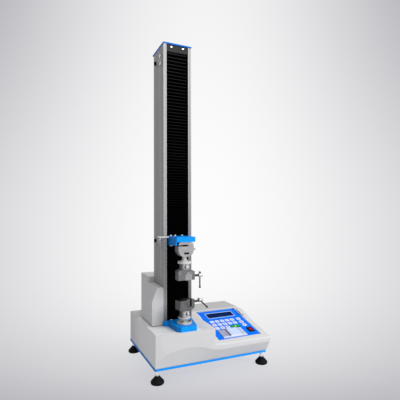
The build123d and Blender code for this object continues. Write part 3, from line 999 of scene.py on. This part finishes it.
@dataclass(frozen=True)
class Disc:
    """A short round or many-sided blank with rounded edges, upright at the origin."""

    name: str
    radius: float
    height: float
    sides: int
    rounding: float
    steps: int = 2
    foot: float = 0.0

    def model(self) -> bpy.types.Object:
        """Models the blank.

        Returns:
            The blank, to be copied to its places.
        """
        top = self.foot + self.height
        piece = Workshop.round_bar(self.name, self.radius, self.foot, top, self.sides)
        Workshop.round_edges(piece, self.rounding, self.steps)
        return piece


@dataclass
class CapScrew:
    """A socket-head cap screw, modelled once and copied."""

    head: float
    height: float
    socket: float
    blank: bpy.types.Object = field(init=False)

    SIDES = 24
    SOCKET_SIDES = 6
    ROUNDING = 0.14
    SOCKET_FLOOR = 0.45

    def __post_init__(self) -> None:
        """Models the head: a rounded cylinder with a six-sided socket."""
        name = f"cap_screw_{self.head / MM:.1f}"
        rounding = self.head * self.ROUNDING
        self.blank = Disc(name, self.head, self.height, self.SIDES, rounding).model()
        floor, above = self.height * self.SOCKET_FLOOR, self.height * 2
        tool = Workshop.round_bar("hex_key", self.socket, floor, above, self.SOCKET_SIDES)
        Workshop.cut(self.blank, tool)

    def fit(self, name: str, place: Matrix, body: str) -> None:
        """Fits one screw, its head standing up along the place's Z.

        Args:
            name: the screw's name.
            place: where the underside of its head goes.
            body: the body that it rides on.
        """
        screw = Workshop.copy_at(self.blank, name, place)
        Workshop.hand_over(screw, HEAD_STEEL, body, "silver")

    def put_away(self) -> None:
        """Removes the blank once all screws are fitted."""
        bpy.data.objects.remove(self.blank)


# Sub-assemblies


@dataclass
class Bellows:
    """A pleated cover in groups of folds that open and close together.

    The share sag draws the folds together towards the moving end. Each fold is two leaves and
    a stitched lip, and the share lift takes from the lip's height what it gives to the leaves.
    """

    name: str
    fixed: float
    moving: float
    folds: int
    groups: tuple[int, ...]
    sag: float = 0.0
    lift: float = 0.12
    left: float = -160.3 * MM
    right: float = -74.2 * MM
    front: float = -75.6 * MM
    depth: float = 20 * MM
    cloth: float = 0.8 * MM

    def portion(self, fold: int) -> float:
        """How much of the cover lies between its fixed end and a fold's border."""
        share = fold / self.folds
        return share * (1 + self.sag - self.sag * share)

    def share(self, fold: int) -> float:
        """The blend position at which a fold's border moves by its own portion."""
        return 0.5 - math.sin(math.asin(1 - 2 * self.portion(fold)) / 3)

    def level(self, fold: int) -> float:
        """The height of a fold's border."""
        return self.fixed + (self.moving - self.fixed) * self.portion(fold)

    def flat_length(self, first: int, last: int) -> float:
        """The length of flat cloth between two borders.

        Args:
            first: the number of the first border.
            last: the number of the last border.

        Returns:
            The length in metres, along both leaves and the lip of each fold.
        """
        count = last - first
        pitch = abs(self.level(last) - self.level(first)) / count
        leaf = math.hypot(self.depth, pitch * (1 / 3 + self.lift))
        return count * (2 * leaf + pitch * (1 / 3 - 2 * self.lift))

    def strip(self, first: int, last: int) -> bpy.types.Object:
        """Models the folds between two borders, still without the cloth's thickness.

        Args:
            first: the number of the first border.
            last: the number of the last border.

        Returns:
            The folded strip.
        """
        low, high = sorted((self.level(first), self.level(last)))
        count = last - first
        third = (high - low) / count / 3
        middle = ((self.left + self.right) / 2, self.front + self.depth, (low + high) / 2)
        Workshop.deselect()
        bpy.ops.mesh.primitive_grid_add(
            x_subdivisions=1, y_subdivisions=3 * count, size=1, location=middle,
            rotation=(math.pi / 2, 0, 0))
        bpy.ops.transform.resize(value=(self.right - self.left, 1, high - low))
        piece = Workshop.named(f"{self.name}_folds_{first + 1:02d}_to_{last:02d}")
        for row, lift in ((1, self.lift), (2, -self.lift)):
            Workshop.pick(
                piece, lambda at, _normal: round((at.z - low) / third) % 3 == row, Part.CORNERS)
            Workshop.shift((0, -self.depth, lift * third * 3))
            Workshop.done()
        return piece

    def build(self) -> None:
        """Builds every group and blends it between the machine and the crosshead."""
        for first, last in zip(self.groups, self.groups[1:]):
            piece = self.strip(first, last)
            Workshop.thicken(piece, self.cloth)
            start, end = self.share(first), self.share(last)
            span = (self.level(last) - self.level(first)) / (end - start)
            origin = self.level(first) - start * span
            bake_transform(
                piece, "machine", "crosshead", start=(0, 0, origin), end=(0, 0, origin + span))
            self.flat_length(first, last)
            Workshop.hand_over(piece, PLEATED, "machine and crosshead", "bellows_cloth")
            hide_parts(self.name)


@dataclass
class Column:
    """The extruded column, its cap, its covers and the drive inside it."""

    end_plate: float = 1332 * MM
    arm_top: float = 556 * MM
    arm_under: float = 520 * MM
    seat: float = 176 * MM
    upper_groups: tuple[int, ...] = (0, 1, 3, 6, 11, 18, 25, 31, 38, 45, 51, 56, 59, 61, 62)
    lower_groups: tuple[int, ...] = (0, 1, 2, 5, 10, 20, 25, 28, 29, 30)
    upper_sag: float = 0.234
    plate_screws: tuple[tuple[str, Triple], ...] = (
        ("left", (-144 * MM, -77 * MM, 1352 * MM)), ("right", (-92 * MM, -77 * MM, 1352 * MM)))
    collar: Disc = Disc("knob_collar", 8.4 * MM, 7.6 * MM, 18, 1.2 * MM)
    collars: tuple[tuple[str, Triple], ...] = (
        ("upper", (-182.8 * MM, 10 * MM, 1308 * MM)), ("lower", (-182.8 * MM, 10 * MM, 533 * MM)))
    cap: Disc = Disc("head_cap", 6.8 * MM, 4.2 * MM, 24, 1.6 * MM, 3)
    caps: tuple[Triple, ...] = (
        (-182.3 * MM, -51 * MM, 1317 * MM), (-182.3 * MM, -54 * MM, 1284 * MM))

    def dress(self) -> None:
        """Paints the nodes of the column and of the drive."""
        paint_nodes(EXTRUSION, "column_profile")
        paint_nodes(SHADED_CAP_AZURE, "column_top_plate")
        paint_nodes(DARK_PLATE, "bellows_end_plate")
        paint_nodes(GROUND_STEEL, "guide_rods", "ball_screw")
        paint_nodes(CAST, "bearing_blocks", "carriage")
        paint_nodes(PULLEY, "screw_pulley", "motor_pulley")
        paint_nodes(BELT, "timing_belt")
        paint_nodes(MOTOR, "drive_motor")
        paint_nodes(COVER_WITH_FOOT_SHADOW, "motor_cover")
        paint_nodes(SWITCH, "upper_limit_switch")
        paint_nodes(LOWER_SWITCH, "lower_limit_switch")

    def build(self, screws: CapScrew) -> None:
        """Makes the pleated covers, the switches' knobs and the end plate's screws.

        Args:
            screws: the end plate's screws.
        """
        Bellows(
            "upper_bellows", self.end_plate, self.arm_top, self.upper_groups[-1],
            self.upper_groups, self.upper_sag).build()
        Bellows(
            "lower_bellows", self.seat, self.arm_under, self.lower_groups[-1],
            self.lower_groups).build()
        self.knobs()
        for side, spot in self.plate_screws:
            screws.fit(f"end_plate_screw_{side}", turned_to(FORWARD, spot), "machine")

    def knobs(self) -> None:
        """Fits a grip collar round each clamp knob and caps on the upper switch's heads."""
        collar = self.collar.model()
        for side, spot in self.collars:
            piece = Workshop.copy_at(collar, f"{side}_knob_collar", turned_to(LEFT, spot))
            Workshop.hand_over(piece, BLACK, f"{side}_switch", "black_plastic")
        cap = self.cap.model()
        for number, spot in enumerate(self.caps, 1):
            piece = Workshop.copy_at(cap, f"switch_head_cap_{number}", turned_to(LEFT, spot))
            Workshop.hand_over(piece, HEAD_STEEL, "upper_switch", "silver")
        bpy.data.objects.remove(collar)
        bpy.data.objects.remove(cap)


@dataclass
class Crosshead:
    """The moving arm with its trip bar and load cell."""

    top: float = 556 * MM
    under: float = 520 * MM
    screw_line: float = -89 * MM
    screws_across: tuple[float, ...] = (-150 * MM, -131 * MM, -100 * MM)
    nut: Disc = Disc("arm_nut", 6.5 * MM, 5 * MM, 6, 0.5 * MM)
    slits: tuple[tuple[float, float, float, float], ...] = (
        (-148.2 * MM, -128.2 * MM, 520.7 * MM, 523.3 * MM),
        (-130.2 * MM, -109 * MM, 518.8 * MM, 525.2 * MM),
        (-124.3 * MM, -103.7 * MM, 487.2 * MM, 494.3 * MM))
    strip_front: float = -172 * MM
    strip_back: float = -138 * MM
    strip_rounding: float = 0.4 * MM

    def dress(self) -> None:
        """Paints the arm, the trip bar and the load cell."""
        paint_nodes(AZURE, "crosshead_arm")
        paint_nodes(TRIP, "trip_arm")
        paint_nodes(UPPER_ADAPTER, "upper_adapter")
        paint_nodes(CELL, "load_cell")

    def build(self, screws: CapScrew) -> None:
        """Fits the screws on top of the arm and the nut under it.

        Args:
            screws: the arm's screws.
        """
        for number, x in enumerate(self.screws_across, 1):
            place = turned_to(UP, (x, self.screw_line, self.top))
            screws.fit(f"arm_screw_{number}", place, "crosshead")
        place = turned_to(DOWN, (self.screws_across[0], self.screw_line, self.under))
        nut = Workshop.copy_at(self.nut.model(), "arm_lock_nut", place, remove=True)
        Workshop.hand_over(nut, PLATED, "crosshead", "silver")
        self.shade_slits_with_black()

    def shade_slits_with_black(self) -> None:
        """Fills the load cell's slits with soft black strips, set back from its faces, as painted shade
        inside the slits.
        """
        # painted shade: black strips stand for the shade inside the slits
        for number, (left, right, low, high) in enumerate(self.slits, 1):
            strip = Workshop.block(
                f"cell_slit_strip_{number}", (left, self.strip_front, low),
                (right, self.strip_back, high))
            Workshop.round_edges(strip, self.strip_rounding)
            Workshop.hand_over(strip, BLACK, "crosshead", "black_plastic")


@dataclass
class Grip:
    """One screw grip, upper or lower."""

    side: str
    steel: Finish
    screw: Finish

    def dress(self) -> None:
        """Paints the grip's frame, jaw, screw and tommy bar."""
        paint_nodes(self.steel, f"{self.side}_grip_body", f"{self.side}_jaw")
        paint_nodes(self.screw, f"{self.side}_clamp_screw")
        paint_nodes(TOMMY, f"{self.side}_tommy_bar")


@dataclass
class Base:
    """The plate, the housing, the seat of the lower grip and the feet."""

    seat_screws: tuple[Triple, ...] = (
        (-150 * MM, -94 * MM, 209 * MM), (-84 * MM, -94 * MM, 209 * MM))
    flange: Triple = (-116 * MM, -155 * MM, 213 * MM)
    flange_radius: float = 19 * MM
    flange_screws: int = 4
    first_angle: float = math.radians(45)

    def dress(self) -> None:
        """Paints the base's nodes."""
        paint_nodes(AZURE, "base_plate", "lower_seat")
        paint_nodes(HOUSING, "base_housing")
        paint_nodes(LOWER_ADAPTER, "lower_adapter")
        paint_nodes(BLACK, "mains_inlet")
        for row in ("front", "rear"):
            for side in ("left", "right"):
                paint_nodes(FOOT, f"{row}_{side}_foot")

    def build(self, screws: CapScrew, flange_screws: CapScrew) -> None:
        """Fits the screws of the seat and of the flange on it.

        Args:
            screws: the seat's screws.
            flange_screws: the flange's smaller screws.
        """
        for number, spot in enumerate(self.seat_screws, 1):
            screws.fit(f"seat_screw_{number}", turned_to(UP, spot), "machine")
        for number in range(self.flange_screws):
            angle = self.first_angle + 2 * math.pi * number / self.flange_screws
            arm = Vector((math.cos(angle), math.sin(angle), 0)) * self.flange_radius
            place = turned_to(UP, Vector(self.flange) + arm)
            flange_screws.fit(f"flange_screw_{number + 1}", place, "machine")


@dataclass(frozen=True)
class PanelFace:
    """The sloping face of the console, on which places are given in millimetres."""

    back: float = 58 * MM
    height: float = 184 * MM
    slope: float = math.atan(0.2285)

    def at(self, x: float, s: float, h: float = 0.0) -> Matrix:
        """A place on the face.

        Args:
            x: how far across the machine it is.
            s: how far down the slope it is.
            h: how high above the face it is.

        Returns:
            The place, with its Z square to the face.
        """
        lean = Matrix.Rotation(self.slope, 4, "X")
        start = Matrix.Translation((0, self.back, self.height))
        return start @ lean @ Matrix.Translation((x * MM, -s * MM, h * MM))


@dataclass(frozen=True)
class Slab:
    """The limits of a flat box on the console's face, in millimetres."""

    left: float
    right: float
    back: float
    front: float
    low: float
    high: float


@dataclass(frozen=True)
class Sign:
    """A flat sign on a key: a figure of a few sides, in millimetres and radians."""

    name: str
    sides: int
    x: float
    s: float
    size: float
    turn: float
    key: str
    ink: Finish = INK


@dataclass
class Console:
    """The sloping panel with its display, keys, printer and mains switch.

    Its sizes on the face are in millimetres, and those of its blanks in metres.
    """

    face: PanelFace = PanelFace()
    rows: tuple[float, float, float] = (100.5, 129, 157.5)
    columns: tuple[float, ...] = (63, 88.4, 113.8, 139.2, 164.6)
    start_column: float = 151.9
    side_column: float = 198
    print_height: float = 1.42
    digit_size: float = 13
    digit_depth: float = 0.05
    sign_depth: float = 0.06
    screen: Slab = Slab(63, 196, 24, 67, -0.8, 0.2)
    printer_keys: tuple[Slab, ...] = (
        Slab(148, 160, 188, 196, 2.9, 4.4), Slab(148, 160, 202, 210, 2.9, 4.4))
    printer_key_rounding: float = 0.5
    lamp: Disc = Disc("printer_lamp", 2 * MM, 1.7 * MM, 20, 0.6 * MM, foot=2.5 * MM)
    lamp_at: Span = (154, 219)
    slip: Slab = Slab(90, 137, 230.6, 234, 3.0, 6.2)
    seal_edge: float = 11
    seal_cut: float = 10
    seal_low: float = -1.5
    seal_high: float = 1.0
    corners: tuple[Span, ...] = ((24.4, 248.6), (228.6, 248.6), (228.6, -0.6), (24.4, -0.6))

    def dress(self) -> None:
        """Paints the console's nodes."""
        paint_nodes(PANEL_AZURE, "control_panel")
        paint_nodes(LCD_FRAME, "lcd_display")
        paint_nodes(PRINTER, "printer_frame")
        paint_nodes(LID, "printer_door")
        paint_nodes(BLACK, "switch_bezel")
        paint_nodes(ROCKER, "power_rocker")
        paint_nodes(WHITE_KEY, *(f"keypad_key_{number:02d}" for number in range(1, 14)))
        paint_nodes(WHITE_KEY, "up_key", "stop_key", "down_key")
        paint_nodes(GREEN_KEY, "start_key")

    def slab(self, name: str, size: Slab) -> bpy.types.Object:
        """Adds a flat box on the face.

        Args:
            name: the box's name.
            size: its limits.

        Returns:
            The box.
        """
        piece = Workshop.block(
            name, (size.left * MM, -size.front * MM, size.low * MM),
            (size.right * MM, -size.back * MM, size.high * MM))
        return Workshop.copy_at(piece, name, self.face.at(0, 0), remove=True)

    def legend(self, text: str, x: float, s: float, key: str) -> None:
        """Prints a plain number on a key.

        Args:
            text: the number.
            x: the key's place across the machine.
            s: the key's place down the slope.
            key: the key's name.
        """
        Workshop.deselect()
        bpy.ops.object.text_add()
        words = bpy.context.active_object
        words.data.body = text
        words.data.size = self.digit_size * MM
        words.data.extrude = self.digit_depth * MM
        words.data.align_x = "CENTER"
        words.data.align_y = "CENTER"
        bpy.ops.object.convert(target="MESH")
        place = self.face.at(x, s, self.print_height)
        piece = Workshop.copy_at(words, f"legend_{key}_body", place, remove=True)
        Workshop.hand_over(piece, INK, f"{key}_body", "black_plastic")

    def mark(self, sign: Sign) -> None:
        """Prints a flat sign, such as an arrow, on a key.

        Args:
            sign: the sign.
        """
        blank = Workshop.round_bar(
            sign.name, sign.size * MM, 0, self.sign_depth * MM, sign.sides)
        turn = Matrix.Rotation(sign.turn, 4, "Z")
        place = self.face.at(sign.x, sign.s, self.print_height) @ turn
        piece = Workshop.copy_at(blank, f"sign_{sign.name}", place, remove=True)
        Workshop.hand_over(piece, sign.ink, f"{sign.key}_body", "black_plastic")

    def signs(self) -> tuple[Sign, ...]:
        """Lists the signs of the keys that have no number.

        Returns:
            The signs, in the order in which they are printed.
        """
        top, middle, bottom = self.rows
        side, quarter = self.side_column, math.pi / 2
        return (
            Sign("point", 16, self.columns[0], bottom, 1.8, 0, "keypad_key_11"),
            Sign("back", 3, self.columns[1], bottom, 4.6, quarter, "keypad_key_12"),
            Sign("forward", 3, self.columns[2], bottom, 4.6, -quarter, "keypad_key_13"),
            Sign("start", 3, self.start_column, bottom, 5.2, -quarter, "start_key", PALE_INK),
            Sign("up", 3, side, top, 5, 0, "up_key"),
            Sign("stop", 4, side, middle, 5.4, quarter / 2, "stop_key", RED_INK),
            Sign("down", 3, side, bottom, 5, 2 * quarter, "down_key"))

    def legends(self) -> None:
        """Prints the numbers and signs of the keypad."""
        for number, text in enumerate("1234567890"):
            row, column = divmod(number, len(self.columns))
            key = f"keypad_key_{number + 1:02d}"
            self.legend(text, self.columns[column], self.rows[row], key)
        for sign in self.signs():
            self.mark(sign)

    def display(self) -> None:
        """Lays the screen into its frame."""
        Workshop.hand_over(self.slab("lcd_screen", self.screen), LCD, "machine", "lcd")

    def printer(self) -> None:
        """Adds the printer's two keys, its lamp and the slip of paper."""
        for number, size in enumerate(self.printer_keys, 1):
            key = self.slab(f"printer_key_{number}", size)
            Workshop.round_edges(key, self.printer_key_rounding * MM)
            Workshop.hand_over(key, LCD_FRAME, "machine", "printer_plastic")
        place = self.face.at(*self.lamp_at)
        lens = Workshop.copy_at(self.lamp.model(), "printer_lamp_lens", place, remove=True)
        Workshop.hand_over(lens, GREEN_KEY, "machine", "green_key")
        slip = self.slab("paper_slip", self.slip)
        Workshop.hand_over(slip, PAPER, "machine", "white_key")

    def seals(self) -> None:
        """Fills the panel's four cut corners with black seals."""
        edge = self.seal_edge * MM
        seal = Workshop.block(
            "corner_seal", (0, 0, self.seal_low * MM), (edge, edge, self.seal_high * MM))
        Workshop.pick(seal, lambda _centre, _normal: True)
        bpy.ops.mesh.bisect(
            plane_co=(self.seal_cut * MM, 0, 0), plane_no=(1, 1, 0), use_fill=True,
            clear_outer=True)
        Workshop.done()
        for turns, (x, s) in enumerate(self.corners):
            place = self.face.at(x, s) @ Matrix.Rotation(turns * math.pi / 2, 4, "Z")
            piece = Workshop.copy_at(seal, f"panel_corner_seal_{turns + 1}", place)
            Workshop.hand_over(piece, BLACK, "machine", "black_plastic")
        bpy.data.objects.remove(seal)

    def build(self) -> None:
        """Builds everything on the panel."""
        self.seals()
        self.display()
        self.legends()
        self.printer()


# Studio


@dataclass(frozen=True)
class Sweep:
    """The pale backdrop, brightest a little under the picture's middle.

    Its brightness falls off to the sides, upwards and downwards, each over its own reach and
    by its own loss.
    """

    half_width: float = 0.46
    side_limit: float = 1.1
    centre: float = -0.047
    rise: float = 0.54
    rise_limit: float = 1.1
    drop: float = 0.37
    drop_limit: float = 1.2
    drop_power: float = 3.0
    side_loss: float = 0.11
    rise_loss: float = 0.035
    corner_loss: float = 0.15
    drop_loss: float = 0.185
    peak: float = 0.99
    contrast: float = 2.2
    cooling: float = 4.0
    cool: Colour = (0.945, 0.945, 1.0)
    white: Colour = (1.0, 1.0, 1.0)

    def colour(self, sheet: NodeSheet, right: Vector) -> Socket:
        """Mixes the backdrop's colour.

        Args:
            sheet: the world's node tree.
            right: the direction to the picture's right.

        Returns:
            The colour by direction.
        """
        look = sheet.add("ShaderNodeTexCoord").outputs["Generated"]
        across = sheet.math("DIVIDE", sheet.toward(look, right), self.half_width)
        across = sheet.math("MINIMUM", sheet.times(across, across), self.side_limit)
        height = sheet.total(sheet.toward(look, UP), -self.centre)
        rise = sheet.clipped(sheet.times(height, 1 / self.rise), self.rise_limit)
        rise = sheet.times(rise, rise)
        drop = sheet.clipped(sheet.times(height, -1 / self.drop), self.drop_limit)
        drop = sheet.math("POWER", drop, self.drop_power)
        loss = sheet.total(
            sheet.times(across, self.side_loss), sheet.times(rise, self.rise_loss),
            sheet.times(across, rise, self.corner_loss), sheet.times(drop, self.drop_loss))
        level = sheet.math("POWER", sheet.math("SUBTRACT", self.peak, loss), self.contrast)
        tint = sheet.mix(sheet.times(loss, self.cooling), self.white, self.cool)
        return sheet.scaled(tint, level)


@dataclass(frozen=True)
class Lamp:
    """One soft square lamp: its place, the side of its square and its power in watts."""

    name: str
    at: Triple
    size: float
    power: float

    def hang(self, aim: Iterable[float]) -> None:
        """Hangs the lamp.

        Args:
            aim: the point that it lights.
        """
        data = bpy.data.lights.new(self.name, "AREA")
        data.size = self.size
        data.energy = self.power
        lamp = bpy.data.objects.new(self.name, data)
        bpy.context.scene.collection.objects.link(lamp)
        lamp.matrix_world = turned_to(Vector(self.at) - Vector(aim), self.at)


@dataclass
class Studio:
    """The pale floor, soft lights, sky and camera."""

    eye: Triple = (-0.66535, -1.5373, 0.6384)
    yaw: float = 0.4253
    pitch: float = 0.01441
    roll: float = -0.00253
    lens: float = 33.19
    sensor: float = 36
    shift: Span = (-0.00398, 0.02742)
    far: float = 60
    sweep: Sweep = Sweep()
    sky_power: float = 0.55
    floor_radius: float = 6
    floor_sides: int = 96
    floor_colour: Colour = (0.86, 0.86, 0.88)
    fade_reach: Span = (0.25, 1.1)
    fade: Span = (0.87, 1.0)
    middle: Triple = (0, 0, 0.5)
    lamps: tuple[Lamp, ...] = (
        Lamp("key_light", (2.0, -2.8, 2.5), 1.8, 100), Lamp("top_light", (0.2, 0.3, 3.4), 1.8, 26))

    def right(self) -> Vector:
        """The direction to the picture's right."""
        return Vector((math.cos(self.yaw), -math.sin(self.yaw), 0))

    def camera(self) -> None:
        """Sets the camera at the photograph's viewing angle."""
        data = bpy.data.cameras.new("camera")
        data.sensor_width = self.sensor
        data.lens = self.lens
        data.shift_x, data.shift_y = self.shift
        data.clip_end = self.far
        camera = bpy.data.objects.new("camera", data)
        bpy.context.scene.collection.objects.link(camera)
        forward = Vector((
            math.sin(self.yaw) * math.cos(self.pitch), math.cos(self.yaw) * math.cos(self.pitch),
            math.sin(self.pitch)))
        right = self.right()
        up = right.cross(forward)
        side = right * math.cos(self.roll) + up * math.sin(self.roll)
        top = up * math.cos(self.roll) - right * math.sin(self.roll)
        turn = Matrix((side, top, -forward)).transposed().to_4x4()
        camera.matrix_world = Matrix.Translation(self.eye) @ turn
        bpy.context.scene.camera = camera

    def world(self) -> None:
        """Makes a sky that lights evenly, and that shows as a pale sweep."""
        world = bpy.data.worlds.new("studio_sky")
        world.use_nodes = True
        bpy.context.scene.world = world
        sheet = NodeSheet.on(world.node_tree, "ShaderNodeOutputWorld")
        colour = self.sweep.colour(sheet, self.right())
        shown = sheet.add("ShaderNodeBackground", Color=colour)
        fill = sheet.add("ShaderNodeBackground", Color=(1.0, 1.0, 1.0, 1), Strength=self.sky_power)
        sheet.close(sheet.mix_shaders(sheet.seen(), fill.outputs[0], shown.outputs[0]))

    def floor(self) -> None:
        """Lays a wide pale floor that takes the shadow and fades into the backdrop."""
        Workshop.deselect()
        bpy.ops.mesh.primitive_circle_add(
            vertices=self.floor_sides, radius=self.floor_radius, fill_type="NGON",
            location=(0, 0, 0))
        floor = Workshop.named("studio_floor")
        sheet = NodeSheet("floor_paper")
        distance = sheet.add(
            "ShaderNodeVectorMath", {"operation": "LENGTH"}, Vector=sheet.place).outputs["Value"]
        matt = sheet.add("ShaderNodeBsdfDiffuse", Color=(*self.floor_colour, 1))
        clear = sheet.add("ShaderNodeBsdfTransparent")
        share = sheet.times(sheet.spread(distance, self.fade_reach, self.fade), sheet.seen())
        sheet.close(sheet.mix_shaders(share, matt.outputs[0], clear.outputs[0]))
        floor.data.materials.append(sheet.material)

    def build(self) -> None:
        """Sets up the whole studio."""
        bpy.context.scene.view_settings.view_transform = "Standard"
        self.camera()
        self.world()
        self.floor()
        for lamp in self.lamps:
            lamp.hang(self.middle)
        LOG.info("the studio is set")


def main() -> None:
    """Builds the studio and every sub-assembly."""
    Studio().build()
    tiny = CapScrew(3.2 * MM, 4 * MM, 1.6 * MM)
    small = CapScrew(4.2 * MM, 4.5 * MM, 2.3 * MM)
    medium = CapScrew(4.6 * MM, 5 * MM, 2.6 * MM)
    column = Column()
    column.dress()
    column.build(small)
    crosshead = Crosshead()
    crosshead.dress()
    crosshead.build(medium)
    Grip("upper", UPPER_GRIP, UPPER_SCREW).dress()
    Grip("lower", LOWER_GRIP, LOWER_SCREW).dress()
    base = Base()
    base.dress()
    base.build(medium, tiny)
    console = Console()
    console.dress()
    console.build()
    for screws in (tiny, small, medium):
        screws.put_away()


if __name__ == "__main__":
    logging.basicConfig(level=logging.INFO, format="%(message)s")
    main()
